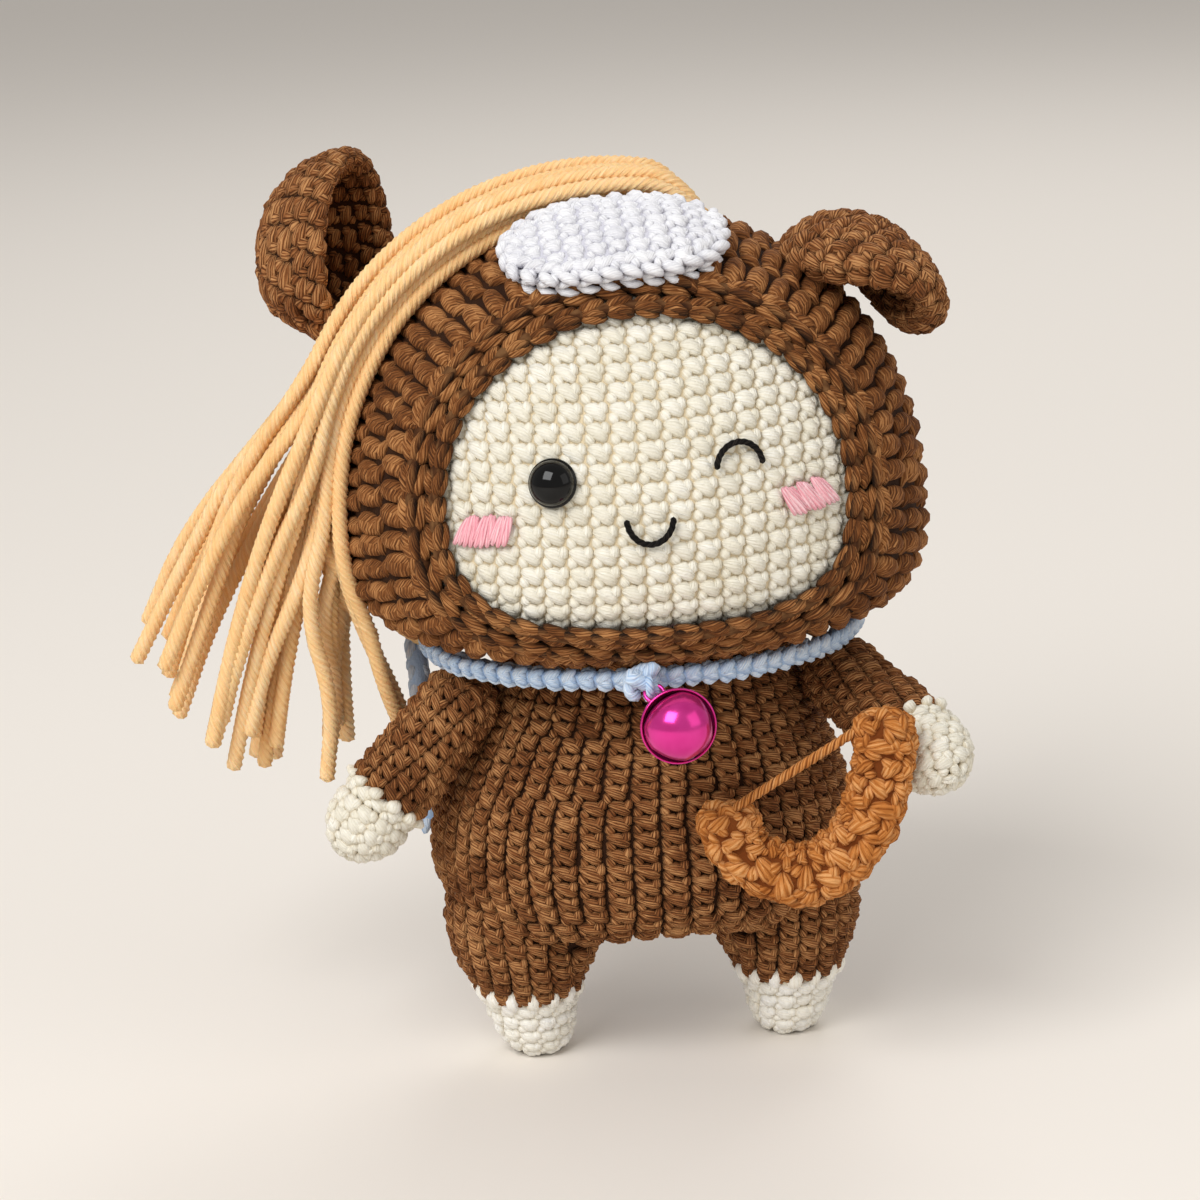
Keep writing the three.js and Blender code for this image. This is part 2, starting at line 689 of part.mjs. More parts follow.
function addHorseshoe(arm, handMiddle) {
  const { across, opening, facing } = horseshoeFrame();
  const halfWidth = horseshoeWidth / 2;
  const halfThickness = horseshoeThickness / 2;
  const arc = Math.PI * horseshoeRadius;
  const start = roundStart(1).map(([wide, high]) => [wide * halfWidth, high * halfThickness]);
  const outline = [...start];
  for (let i = 1; i < padFacets; i++) {
    outline.push([halfWidth, (i / padFacets) * arc]);
  }
  start.reverse().forEach(([wide, high]) => outline.push([wide, arc - high]));
  const bent = shaped(turned(outline, padFacets), (x, y, z) => {
    const angle = Math.PI + z / horseshoeRadius;
    const reach = horseshoeRadius + x;
    const thick = (y * halfThickness) / halfWidth;
    return new THREE.Vector3(reach * Math.cos(angle), reach * Math.sin(angle), -thick);
  });

  const grip = horseshoeGripAngle * degree;
  const radial = across.clone().multiplyScalar(Math.cos(grip)).addScaledVector(opening, Math.sin(grip));
  const turn = horseshoeGripTurn * degree;
  const away = new THREE.Vector3(-Math.cos(turn), -Math.sin(turn), 0);
  const support = Math.hypot(halfWidth * away.dot(radial), halfThickness * away.dot(facing));
  const middle = handMiddle.clone().addScaledVector(away, handRadius + gap + support);
  middle.addScaledVector(radial, -horseshoeRadius);

  const holder = new THREE.Group();
  holder.position.copy(middle);
  holder.quaternion.setFromRotationMatrix(new THREE.Matrix4().makeBasis(across, opening, facing));
  arm.add(holder);
  add(holder, "horseshoe", bent, rustYarn);
  const span = 2 * (horseshoeRadius - halfWidth - gap);
  const string = rod(stringRadius, span, tailFacets).rotateY(Math.PI / 2).translate(0, stringRise, 0);
  add(holder, "horseshoe_string", string, rustYarn);
}

// Collar: a cord round the neck, close under the hood
function collarPoint(angle, more = 0) {
  const lift = gap + collarRadius + more;
  const { width, depth, height, power } = headSizes(lift, true);
  const level = (1 - collarReachShare ** power) ** (1 / power);
  return new THREE.Vector3(
    width * collarReachShare * Math.cos(angle),
    depth * collarReachShare * Math.sin(angle),
    headMidZ - height * level,
  );
}

const collarHalfWidth = collarPoint(0).x;
const knotMiddle = collarPoint(-Math.acos(knotAside / collarHalfWidth));
knotMiddle.addScaledVector(
  new THREE.Vector3(...knotDirection).normalize(),
  collarRadius + gap + knotEyeRadius + knotTubeRadius,
);

// Directions of the bell at rest: down to the bell, and along the wire that goes through the knot
function bellFrame() {
  const down = new THREE.Vector3(...bellDirection).normalize();
  const along = new THREE.Vector3(1, 0, 0).addScaledVector(down, -down.x).normalize();
  return { along, side: down.clone().cross(along), down };
}

function addCollar(body) {
  add(body, "collar", ring(collarPoint, collarRadius, up), blueYarn);
  const { along, side, down } = bellFrame();
  const knot = new THREE.TorusGeometry(knotEyeRadius, knotTubeRadius, 8, 14);
  knot.applyMatrix4(new THREE.Matrix4().makeBasis(side, down, along));
  add(body, "collar_knot", knot.translate(knotMiddle.x, knotMiddle.y, knotMiddle.z), blueYarn);

  const middle = collarPoint(backKnotAngle * degree);
  const out = middle.clone().setZ(0).normalize();
  const knotAt = middle.clone().addScaledVector(out, collarRadius + gap + backKnotRadius);
  const ball = new THREE.SphereGeometry(backKnotRadius, 12, 8).rotateX(Math.PI / 2);
  add(body, "collar_back_knot", ball.translate(knotAt.x, knotAt.y, knotAt.z), blueYarn);

  const top = knotAt.z - backKnotRadius - gap;
  const tails = [
    ["collar_tail_long", longTailLength, -tailRadius - gap / 2],
    ["collar_tail_short", shortTailLength, tailRadius + gap / 2],
  ];
  const lengthShares = [0, 0.25, 0.5, 0.75, 1];
  for (const [name, length, back] of tails) {
    const points = lengthShares.map(
      (share) => new THREE.Vector3(knotAt.x - share * out.x, knotAt.y + back, top - share * length),
    );
    add(body, name, tube(points, tailRadius, tailSteps, tailFacets), blueYarn);
  }
}

// Bell: two pressed shells that meet at a seam, with a wire loop and a loose pellet
function addBell(bell) {
  const hang = new THREE.Group();
  const { along, side, down } = bellFrame();
  hang.quaternion.setFromRotationMatrix(new THREE.Matrix4().makeBasis(along, side, down));
  bell.add(hang);
  const middle = 2 * bellLoopRadius + bellLoopWire + gap + bellRadius;
  const seamRadius = bellRadius + bellSeamWidth;
  const inner = bellRadius - bellWall;
  const arcShares = [0, 0.25, 0.5, 0.75, 1];
  const arcAt = (radius, angle) => [radius * Math.cos(angle), radius * Math.sin(angle)];
  const arcOf = (radius) => arcShares.map((share) => arcAt(radius, (share * Math.PI) / 2));
  const flip = ([radius, height]) => [radius, middle - height];
  const dome = (start) => [
    ...arcOf(bellRadius).map(([r, h]) => [r, Math.max(h, start)]),
    ...arcOf(inner).reverse().map(([r, h]) => [r, Math.max(h, start)]),
  ];
  const seam = bellSeamHeight / 2;
  const halfGap = gap / 2;
  const front = dome(halfGap).map(([r, h]) => [r, middle + h]);
  const shut = [...front, front[0]];
  const slot = box(bellSlotWidth, bellSlotLengthShare * bellRadius, bellSlotHeightShare * bellRadius);
  slot.translate(0, 0, middle + bellSlotLiftShare * bellRadius);
  const slots = solid(slot).add(solid(slot.clone().rotateZ(Math.PI / 2)));
  const frontShell = solid(turned(shut, smallFacets)).subtract(slots);
  add(hang, "bell_front_shell", frontShell, magentaMetal);

  const hole = bellHole / 2;
  const back = dome(halfGap).map(flip).map(([r, h]) => [Math.max(r, hole), h]);
  const flangeTop = middle - halfGap;
  const flange = [[inner, flangeTop], [seamRadius, flangeTop], [seamRadius, flangeTop - seam]];
  const backShut = [...flange, ...back];
  add(hang, "bell_rear_shell", turned([...backShut, backShut[0]].reverse(), smallFacets), magentaMetal);

  const loop = new THREE.TorusGeometry(bellLoopRadius, bellLoopWire, 6, 12).rotateX(Math.PI / 2);
  add(hang, "bell_loop", loop.translate(0, 0, bellLoopRadius), magentaMetal);
  const pelletAt = new THREE.Vector3(along.z, side.z, down.z).multiplyScalar(-pelletDrop);
  const pellet = new THREE.SphereGeometry(pelletRadius, padFacets, tailFacets);
  add(hang, "bell_pellet", pellet.translate(pelletAt.x, pelletAt.y, middle + pelletAt.z), steel);
}

const doll = new THREE.Group();
const body = new THREE.Group();
const head = new THREE.Group();
const bell = new THREE.Group();
const arms = { right: new THREE.Group(), left: new THREE.Group() };
doll.add(body, head, bell, arms.right, arms.left);

addBody(body);
addCollar(body);
addHead(head);
addFace(head);
addPatch(head);
addEars(head);
addMane(head);
bell.name = "bell_pivot";
bell.position.copy(knotMiddle);
addBell(bell);
for (const [name, side] of [["right", -1], ["left", 1]]) {
  arms[name].name = `${name}_arm_pivot`;
  arms[name].position.copy(shoulder(side));
  addArm(arms[name], name, armDirections[name]);
}
const leftReach = new THREE.Vector3(...armDirections.left).normalize();
addHorseshoe(arms.left, leftReach.multiplyScalar(sleeveLength + handRise));

// The origin is the middle of the box round the doll, on the floor; the loose cord tails don't count.
doll.updateMatrixWorld(true);
const bounds = new THREE.Box3();
doll.traverse((piece) => {
  if (piece.isMesh && !piece.name.startsWith("collar_tail")) bounds.expandByObject(piece, true);
});
const middle = bounds.getCenter(new THREE.Vector3());
doll.position.set(-middle.x, -middle.y, -bounds.min.z);

const part = new THREE.Group();
part.add(doll);

export default part;
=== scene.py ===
# %% [markdown]
# # A crocheted doll in a hooded suit
# Every stitch of this doll is a small loop of yarn that can be seen from a step away. A bump map alone
# looks flat at the outline, so the stitches here are real geometry: one small template is modelled for
# each kind of stitch, and copies of it are sewn over smooth surfaces, row by row, as a maker does.

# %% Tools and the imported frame
import bisect
import math
import random

import bmesh
import bpy
from mathutils import Matrix, Vector, noise


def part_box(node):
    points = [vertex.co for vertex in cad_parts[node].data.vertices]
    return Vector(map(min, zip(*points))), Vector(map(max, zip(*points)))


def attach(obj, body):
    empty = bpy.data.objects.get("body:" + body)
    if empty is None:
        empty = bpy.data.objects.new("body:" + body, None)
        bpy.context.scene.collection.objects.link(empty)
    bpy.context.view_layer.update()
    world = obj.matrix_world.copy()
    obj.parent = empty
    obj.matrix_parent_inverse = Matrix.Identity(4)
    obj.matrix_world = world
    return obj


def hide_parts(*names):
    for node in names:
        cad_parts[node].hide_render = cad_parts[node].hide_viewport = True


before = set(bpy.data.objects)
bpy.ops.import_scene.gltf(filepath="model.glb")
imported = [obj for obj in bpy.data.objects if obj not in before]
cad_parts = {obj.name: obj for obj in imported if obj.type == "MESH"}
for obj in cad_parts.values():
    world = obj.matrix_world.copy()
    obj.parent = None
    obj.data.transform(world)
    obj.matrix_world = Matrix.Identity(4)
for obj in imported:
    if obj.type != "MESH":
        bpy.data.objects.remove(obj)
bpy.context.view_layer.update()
chance = random.Random(11)

# %% [markdown]
# ## Working in millimetres on the doll's own axis
# The frame's origin is the middle of a box that the mane makes wider on one side. It is easier to think
# of the doll round its own upright axis, so all the shapes are worked out there in millimetres, and one
# matrix takes a finished piece to the frame in metres. The torso is round, so its box gives the axis.

# %% The doll's axis
torso_low, torso_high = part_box("torso")
axis_x = (torso_low[0] + torso_high[0]) / 2
axis_y = (torso_low[1] + torso_high[1]) / 2
to_frame = Matrix.Translation((axis_x, axis_y, 0)) @ Matrix.Scale(0.001, 4)
print("doll axis at", round(axis_x * 1000, 2), round(axis_y * 1000, 2), "mm")

# %% [markdown]
# ## Camera
# The photograph looks slightly down, from a little to the doll's right, and the doll leans in it by a
# few degrees, so the camera is rolled. A long lens at about sixty centimetres keeps the shapes calm.

# %% Camera at the photograph's angle
look_turn = math.radians(5.5)
look_down = math.radians(15)
look_roll = math.radians(3)
look_distance = 620
look_at = Vector((-7.036, 0, 80.5))
ahead = Vector((math.sin(look_turn) * math.cos(look_down),
                math.cos(look_turn) * math.cos(look_down),
                -math.sin(look_down)))
level = Vector((math.cos(look_turn), -math.sin(look_turn), 0))
above = level.cross(ahead)
camera_x = level * math.cos(look_roll) - above * math.sin(look_roll)
camera_y = level * math.sin(look_roll) + above * math.cos(look_roll)
camera = bpy.data.objects.new("camera", bpy.data.cameras.new("camera"))
bpy.context.scene.collection.objects.link(camera)
camera.matrix_world = Matrix.Translation(to_frame @ (look_at - ahead * look_distance)) @ Matrix(
    (camera_x, camera_y, -ahead)).transposed().to_4x4()
camera.data.sensor_width = 36
camera.data.lens = 106.95
bpy.context.scene.camera = camera
print("camera", [round(n, 3) for n in camera.matrix_world.translation])

# %% [markdown]
# ## Floor and light
# A plain pale floor and soft light from large lamps show the colours about as they are written. The key
# lamp stands high at the front, a weaker one fills from the other side, and the world lights the rest.

# %% Floor
def linear(code):
    """A colour written as six hex digits, as the linear numbers that shaders use."""
    parts = [int(code[i:i + 2], 16) / 255 for i in (0, 2, 4)]
    return tuple(p / 12.92 if p <= 0.04045 else ((p + 0.055) / 1.055) ** 2.4 for p in parts) + (1.0,)


def plain_material(name, code, roughness):
    """A node material with one Principled shader, whose own sockets hold its colour and roughness."""
    material = bpy.data.materials.new(name)
    material.use_nodes = True
    shader = material.node_tree.nodes["Principled BSDF"]
    shader.inputs["Base Color"].default_value = linear(code)
    shader.inputs["Roughness"].default_value = roughness
    return material, shader


floor_shape = bmesh.new()
bmesh.ops.create_grid(floor_shape, x_segments=1, y_segments=1, size=3)
floor_mesh = bpy.data.meshes.new("floor")
floor_shape.to_mesh(floor_mesh)
floor_shape.free()
floor = bpy.data.objects.new("floor", floor_mesh)
bpy.context.scene.collection.objects.link(floor)
floor.data.materials.append(plain_material("pale_table", "ece6de", 0.7)[0])

# %% Lamps and world
def lamp(name, place, size, power, tint=(1, 1, 1)):
    """A square area lamp that faces the doll's middle."""
    data = bpy.data.lights.new(name, "AREA")
    data.size = size
    data.energy = power
    data.color = tint
    made = bpy.data.objects.new(name, data)
    bpy.context.scene.collection.objects.link(made)
    middle = Vector((axis_x, axis_y, 0.08))
    made.location = middle + Vector(place)
    made.rotation_euler = (-Vector(place)).to_track_quat("-Z", "Y").to_euler()


lamp("key_lamp", (-0.62, -0.75, 0.95), 0.8, 14.0)
lamp("fill_lamp", (0.95, -0.7, 0.55), 0.9, 1.9, (1, 0.97, 0.93))
lamp("back_lamp", (0.35, 0.95, 0.9), 0.7, 4.0)
world = bpy.data.worlds.new("studio")
world.use_nodes = True
world.node_tree.nodes["Background"].inputs["Color"].default_value = linear("f6f3f0")
world.node_tree.nodes["Background"].inputs["Strength"].default_value = 0.5
bpy.context.scene.world = world
bpy.context.scene.view_settings.view_transform = "Standard"

# %% [markdown]
# ## Yarn
# Yarn is a bundle of fine threads. Seen close it has light ridges where threads lie on top, dark lines
# between them, and a deep shade at the foot of each stitch. All three are painted into its colour, over the
# bump's real relief: painted light on the ridges, painted shade in the lines and at the feet. The painted
# shade at the feet is read from an attribute that says how high a point stands in its stitch, and the threads
# from a UV map that counts them.

# %% Yarn material
def yarn_material(name, painted_pit_shade, deep, mid, light, ridge=0.5, mottle=1.0, sheen=0.1):
    """Yarn with threads along the UV map's second direction, and a pit colour painted as shade at the
    stitches' feet.
    """
    material, shader = plain_material(name, mid, 0.85)
    shader.inputs["Sheen Weight"].default_value = sheen
    shader.inputs["Sheen Roughness"].default_value = 0.4
    shader.inputs["Sheen Tint"].default_value = linear(light)
    shader.inputs["Specular IOR Level"].default_value = 0.2
    tree = material.node_tree
    new, link = tree.nodes.new, tree.links.new

    def maths(operation, a, b):
        node = new("ShaderNodeMath")
        node.operation = operation
        for socket, value in zip(node.inputs, (a, b)):
            if isinstance(value, (int, float)):
                socket.default_value = value
            else:
                link(value, socket)
        return node.outputs[0]

    def cloud(scale, vector, detail=2):
        node = new("ShaderNodeTexNoise")
        node.inputs["Scale"].default_value = scale
        node.inputs["Detail"].default_value = detail
        link(vector, node.inputs["Vector"])
        return maths("SUBTRACT", node.outputs["Fac"], 0.5)

    threads = new("ShaderNodeUVMap")
    threads.uv_map = "threads"
    parts = new("ShaderNodeSeparateXYZ")
    link(threads.outputs["UV"], parts.inputs[0])
    shade = new("ShaderNodeAttribute")
    shade.attribute_name = "shade"
    height = new("ShaderNodeAttribute")
    height.attribute_name = "rise"
    place = new("ShaderNodeTexCoord").outputs["Object"]

    def along_threads(across, along):
        node = new("ShaderNodeCombineXYZ")
        link(maths("MULTIPLY", parts.outputs["X"], across), node.inputs["X"])
        link(maths("MULTIPLY", parts.outputs["Y"], along), node.inputs["Y"])
        link(maths("MULTIPLY", shade.outputs["Fac"], 91), node.inputs["Z"])
        return node.outputs[0]

    streak = cloud(1, along_threads(1.3, 0.7))
    hair = cloud(1, along_threads(4.5, 1.2), 1)
    patchy = cloud(170, place)
    fibre = cloud(2600, place)
    wander = maths("MULTIPLY", cloud(1, along_threads(0.5, 0.9)), 0.9)
    phase = maths("MULTIPLY", maths("ADD", parts.outputs["X"], wander), math.pi)
    thread = maths("POWER", maths("ABSOLUTE", maths("SINE", phase, 0), 0), 0.7)

    tone = maths("ADD", maths("MULTIPLY", streak, mottle), 0.5)
    tone = maths("ADD", tone, maths("MULTIPLY", patchy, mottle * 0.7))
    tone = maths("ADD", tone, maths("MULTIPLY", hair, mottle * 0.9))
    # Painted light on the threads' ridges and painted shade in the lines between them; the same profile also
    # drives the bump below.
    tone = maths("ADD", tone, maths("MULTIPLY", maths("SUBTRACT", thread, 0.7), ridge))
    tone = maths("ADD", tone, maths("MULTIPLY", maths("SUBTRACT", shade.outputs["Fac"], 0.5), 0.2))
    ramp = new("ShaderNodeValToRGB")
    ramp.color_ramp.elements[0].position = 0.12
    ramp.color_ramp.elements[0].color = linear(deep)
    ramp.color_ramp.elements[1].position = 0.88
    ramp.color_ramp.elements[1].color = linear(light)
    ramp.color_ramp.elements.new(0.5).color = linear(mid)
    link(tone, ramp.inputs["Fac"])
    # Painted shade: where a point stands low in its stitch, its colour goes over to the pit colour.
    depth = new("ShaderNodeMapRange")
    depth.inputs["From Min"].default_value = 0.1
    depth.inputs["From Max"].default_value = 0.75
    link(height.outputs["Fac"], depth.inputs["Value"])
    painted_shade_mix = new("ShaderNodeMix")
    painted_shade_mix.data_type = "RGBA"
    link(depth.outputs[0], painted_shade_mix.inputs["Factor"])
    colours = {socket.name: socket for socket in painted_shade_mix.inputs if socket.type == "RGBA"}
    colours["A"].default_value = linear(painted_pit_shade)
    link(ramp.outputs["Color"], colours["B"])
    link(next(socket for socket in painted_shade_mix.outputs if socket.type == "RGBA"), shader.inputs["Base Color"])

    bump = new("ShaderNodeBump")
    bump.inputs["Strength"].default_value = 0.8
    bump.inputs["Distance"].default_value = 0.0003
    relief = maths("ADD", maths("MULTIPLY", thread, ridge), maths("MULTIPLY", fibre, 0.6))
    link(maths("ADD", relief, maths("MULTIPLY", hair, 0.8)), bump.inputs["Height"])
    link(bump.outputs[0], shader.inputs["Normal"])
    return material


brown_yarn = yarn_material("brown_yarn", "1d0d04", "4d2a10", "86512a", "c08c5a", ridge=0.6, mottle=1.2)
# The feet's yarn is a lighter copy of the cream yarn: painted light, for the light that the pale floor throws
# up onto them.
lit_foot_yarn = yarn_material("lit_foot_yarn", "e2d5b8", "efe9d7", "fbf8ee", "ffffff",
                          ridge=0.2, mottle=0.45, sheen=0.15)
hood_yarn = yarn_material("hood_yarn", "190b03", "46250d", "7b4922", "b98350", ridge=0.4, mottle=1.2)
cream_yarn = yarn_material("cream_yarn", "d3bf99", "dfd8c3", "eee9d9", "faf8f0",
                           ridge=0.25, mottle=0.6, sheen=0.15)
white_yarn = yarn_material("white_yarn", "c3c2cd", "dcdce3", "eeeef2", "fafafc",
                           ridge=0.3, mottle=0.6, sheen=0.15)
blond_yarn = yarn_material("blond_yarn", "d58b3c", "efba78", "fad198", "ffe8c0",
                           ridge=0.15, mottle=0.5, sheen=0.15)
blond_shader = blond_yarn.node_tree.nodes["Principled BSDF"]
blond_shader.inputs["Subsurface Weight"].default_value = 0.1
blond_shader.inputs["Subsurface Scale"].default_value = 0.0025
blue_yarn = yarn_material("blue_yarn", "92b3dc", "b1ccec", "d1e3f7", "eef5fe",
                          ridge=0.35, mottle=0.7, sheen=0.15)
pink_yarn = yarn_material("pink_yarn", "d0667c", "ee93a4", "fbb6c0", "ffdbe0",
                          ridge=0.5, mottle=0.8, sheen=0.15)
black_yarn = yarn_material("black_yarn", "020202", "070606", "14100f", "3a322d", ridge=0.6, mottle=1.0)
rust_yarn = yarn_material("rust_yarn", "6b3410", "8e4d18", "c07838", "e0a468", ridge=0.5, mottle=0.9)
print("yarns:", len([m for m in bpy.data.materials if m.name.endswith("yarn")]))

# %% [markdown]
# ## One lobe of yarn
# A crochet stitch shows as two or three plump lobes where the yarn bends over itself. A UV sphere drawn
# out along X is the natural start for a lobe: its poles become the ends, and its UV map already counts
# round it and along it, which is what the threads need.

# %% A lobe
def new_cloth():
    """An empty mesh with the layers that the yarn material reads."""
    cloth = bmesh.new()
    cloth.loops.layers.uv.new("threads")
    cloth.verts.layers.float.new("shade")
    cloth.verts.layers.float.new("rise")
    return cloth


def lobe(stitch, size, place, slant, bow=0.0, dive=0.0, threads=12, twist=2.5, wraps=0, blunt=1.0,
         around=8, along=5):
    """Adds a lobe of a length, width and height, bowed sideways, with ends that dive, and turned by slant."""
    made = bmesh.ops.create_uvsphere(stitch, u_segments=around, v_segments=along, radius=0.5,
                                     calc_uvs=True)["verts"]
    for vert in made:
        radius = vert.co.xy.length
        if 1e-6 < radius:
            vert.co.xy *= (2 * radius) ** blunt / (2 * radius)
    lay = Matrix.Diagonal((*size, 1)) @ Matrix.Rotation(math.pi / 2, 4, "Y")
    bmesh.ops.transform(stitch, matrix=lay, verts=made)
    for vert in made:
        from_middle = (2 * vert.co.x / size[0]) ** 2
        vert.co.y += bow * (1 - from_middle)
        vert.co.z -= dive * from_middle
    turn = Matrix.Translation(place) @ Matrix.Rotation(math.radians(slant), 4, "Z")
    bmesh.ops.transform(stitch, matrix=turn, verts=made)
    uv = stitch.loops.layers.uv["threads"]
    for face in {face for vert in made for face in vert.link_faces}:
        for corner in face.loops:
            round_it, along_it = corner[uv].uv
            if wraps:
                corner[uv].uv = (along_it * wraps + round_it * 8, round_it * size[1] * 1.2)
            else:
                corner[uv].uv = (round_it * threads + along_it * twist, along_it * size[0] * 0.4)


def stitch_template(name, cell, lobes):
    """A mesh of lobes in a cell that is one wide and one high, with how far each point stands out."""
    stitch = new_cloth()
    for one in lobes:
        lobe(stitch, **one)
    # How high each point stands in its stitch; the yarn paints shade where this is low.
    rise = stitch.verts.layers.float["rise"]
    low = min(vert.co.z for vert in stitch.verts)
    high = max(vert.co.z for vert in stitch.verts)
    for vert in stitch.verts:
        vert[rise] = (vert.co.z - low) / (high - low)
    bmesh.ops.scale(stitch, vec=(1 / cell[0], 1 / cell[1], 1), verts=stitch.verts)
    mesh = bpy.data.meshes.new(name)
    stitch.to_mesh(mesh)
    stitch.free()
    print(name, len(mesh.polygons), "faces")
    return mesh


# %% [markdown]
# ## The kinds of stitch
# Single crochet shows one big lobe that runs down to the right, a small one under its left end and one
# by its right shoulder. The lobes stay inside their own column, so a dark groove is left between the
# columns. The hood is in taller stitches whose posts are wrapped ribs. Edges and cords are chains: two
# legs that open like the letter V. Where the light yarn of a foot or hand ends, its last loops reach up
# as points between the brown stitches.

# %% Stitch templates
def single_crochet(name, full, relief, near=0.0):
    """Single crochet, 4.2 by 3.3 mm; full closes gaps, relief is its height, near narrows its column."""
    return stitch_template(name, (4.2, 3.3 - near), [
        dict(size=(4.4, 2.35 + full, 2.6 * relief), place=(-0.1 + near * 0.2, 0, -1.1 * relief), slant=-38,
             bow=0.4, dive=0.5, threads=14, twist=4.5),
        dict(size=(2.7, 1.7 + full, 2.2 * relief), place=(1.15 - near * 0.5, 0.75, -1.15 * relief), slant=60,
             bow=-0.2, dive=0.4, threads=9, around=6, along=4),
        dict(size=(2.5, 1.6 + full, 2.1 * relief), place=(-1.2 + near * 0.5, -0.95, -1.25 * relief),
             slant=-72, dive=0.4, threads=8, around=6, along=4),
    ])


def ribbed_post(name):
    """One rib of the hood, 4.3 by 8.6 mm: a fat post wrapped by fine threads, with a loop at its foot."""
    return stitch_template(name, (4.3, 8.6), [
        dict(size=(9.0, 4.1, 4.4), place=(0, 0.4, -2.0), slant=86, dive=1.0, blunt=0.7, wraps=19,
             around=10, along=9),
        dict(size=(4.6, 2.1, 2.4), place=(0.1, -3.9, -1.7), slant=-24, bow=0.3, dive=0.6, threads=10),
    ])


def chain_link(name, plump=1.0):
    """One link of a chain, 3.9 by 3.8 mm: two legs that open to one side."""
    return stitch_template(name, (3.9, 3.8), [
        dict(size=(5.0, 2.0 * plump, 2.2), place=(0, 0.92 * side, -0.95), slant=24 * side,
             bow=0.3 * side, dive=0.7, threads=11, twist=8)
        for side in (1, -1)])


snug_crochet = single_crochet("snug_crochet", 0.1, 1.0, 0.25)
full_crochet = single_crochet("full_crochet", 0.5, 0.85)
plump_crochet = single_crochet("plump_crochet", 0.9, 0.75)
ear_crochet = single_crochet("ear_crochet", 0.5, 1.0)
cuff_point = stitch_template("cuff_point", (4.2, 4.4), [
    dict(size=(5.2, 2.9, 2.2), place=(0, 0, -0.6), slant=82, bow=0.25, dive=1.1, threads=10)])
wrapped_rib = ribbed_post("wrapped_rib")
chain = chain_link("chain")
rim_chain = chain_link("rim_chain", 1.2)

# %% [markdown]
# ## Sewing a stitch to a surface
# A template is sewn at a place with two arrows: the width of its cell along the row, and its height
# towards the next row. The arrows come from the surface itself, so the stitches fill it without gaps
# and lean with it. A little chance in each copy keeps the rows from looking printed.

# %% Sewing
def matrix_of(x, y, z, place):
    """The matrix whose columns are three arrows and a place."""
    return Matrix(((x.x, y.x, z.x, place.x),
                   (x.y, y.y, z.y, place.y),
                   (x.z, y.z, z.z, place.z),
                   (0, 0, 0, 1)))


def sew(cloth, template, place, side, rise, push=0.0, loose=1.0):
    """Adds one copy of a stitch at a place, as wide as side and as high as rise."""
    out = side.cross(rise).normalized()
    lean = chance.gauss(0, 0.05) * loose
    side, rise = side + rise * lean, rise - side * lean * 0.6
    side = side * (1 + chance.gauss(0, 0.05) * loose)
    rise = rise * (1 + chance.gauss(0, 0.05) * loose)
    place = place + out * (push + chance.gauss(0, 0.1) * loose)
    copy = template.copy()
    copy.transform(matrix_of(side, rise, out, place))
    copy.attributes["shade"].data.foreach_set("value", [chance.random()] * len(copy.vertices))
    cloth.from_mesh(copy)
    bpy.data.meshes.remove(copy)


def sew_round(cloth, template, surface, low, high, count, start=0.0, keep=None, push=0.0, loose=1.0):
    """Sews one row of count stitches round a surface, between two heights along it."""
    step = 1 / count
    middle = (low + high) / 2
    sewn = 0
    for i in range(count):
        turn = start + (i + 0.5) * step
        place = surface(turn, middle)
        if keep and not keep(place):
            continue
        side = surface(turn + step / 2, middle) - surface(turn - step / 2, middle)
        rise = surface(turn, high) - surface(turn, low)
        sew(cloth, template, place, side, rise, push, loose)
        sewn += 1
    return sewn


def sew_points(cloth, surface, border, count, push):
    """Sews points of light yarn over a border along a limb, one between each two stitches."""
    for i in range(count):
        turn = i / count
        side = surface(turn + 0.5 / count, border) - surface(turn - 0.5 / count, border)
        rise = surface(turn, border + 3) - surface(turn, border - 1.4)
        sew(cloth, cuff_point, surface(turn, border + 0.9), side, rise, push, loose=1.6)


# Painted shade: with this low rise the skin under the stitches takes the yarn's pit colour.
skin_rise = 0.27  # the skin counts as low in its stitches, so that it takes their dark shade


def under_skin(cloth, surface, columns, rows, inwards, low=0.0, high=1.0):
    """The skin under the stitches, dark with painted shade: a grid laid on a surface and moved inwards along
    its normals.
    """
    made = bmesh.ops.create_grid(cloth, x_segments=columns, y_segments=rows, size=0.5)["verts"]
    for vert in made:
        turn = vert.co.x + 0.5
        height = low + (vert.co.y + 0.5) * (high - low)
        vert.co = surface(turn, height)
    bmesh.ops.remove_doubles(cloth, verts=made, dist=1e-3)
    made = [vert for vert in made if vert.is_valid]
    faces = list({face for vert in made for face in vert.link_faces})
    bmesh.ops.recalc_face_normals(cloth, faces=faces)
    for vert in made:
        vert.normal_update()
    rise = cloth.verts.layers.float["rise"]
    for vert in made:
        vert.co -= vert.normal * inwards
        vert[rise] = skin_rise


# %% [markdown]
# ## From cloth to a piece
# A finished piece is moved to the frame, shaded smooth, given its yarn, and told which body it rides on and
# which plain solids it stands for.

# %% Finishing a piece
def finish_piece(name, cloth, material, body, stands_for=()):
    """Makes an object of a cloth mesh in doll millimetres, and ties it to the frame."""
    bmesh.ops.transform(cloth, matrix=to_frame, verts=cloth.verts)
    mesh = bpy.data.meshes.new(name)
    cloth.to_mesh(mesh)
    cloth.free()
    mesh.shade_smooth()
    piece = bpy.data.objects.new(name, mesh)
    bpy.context.scene.collection.objects.link(piece)
    piece.data.materials.append(material)
    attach(piece, body)
    if stands_for:
        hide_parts(*stands_for)
    print(name, len(mesh.polygons), "faces")
    return piece


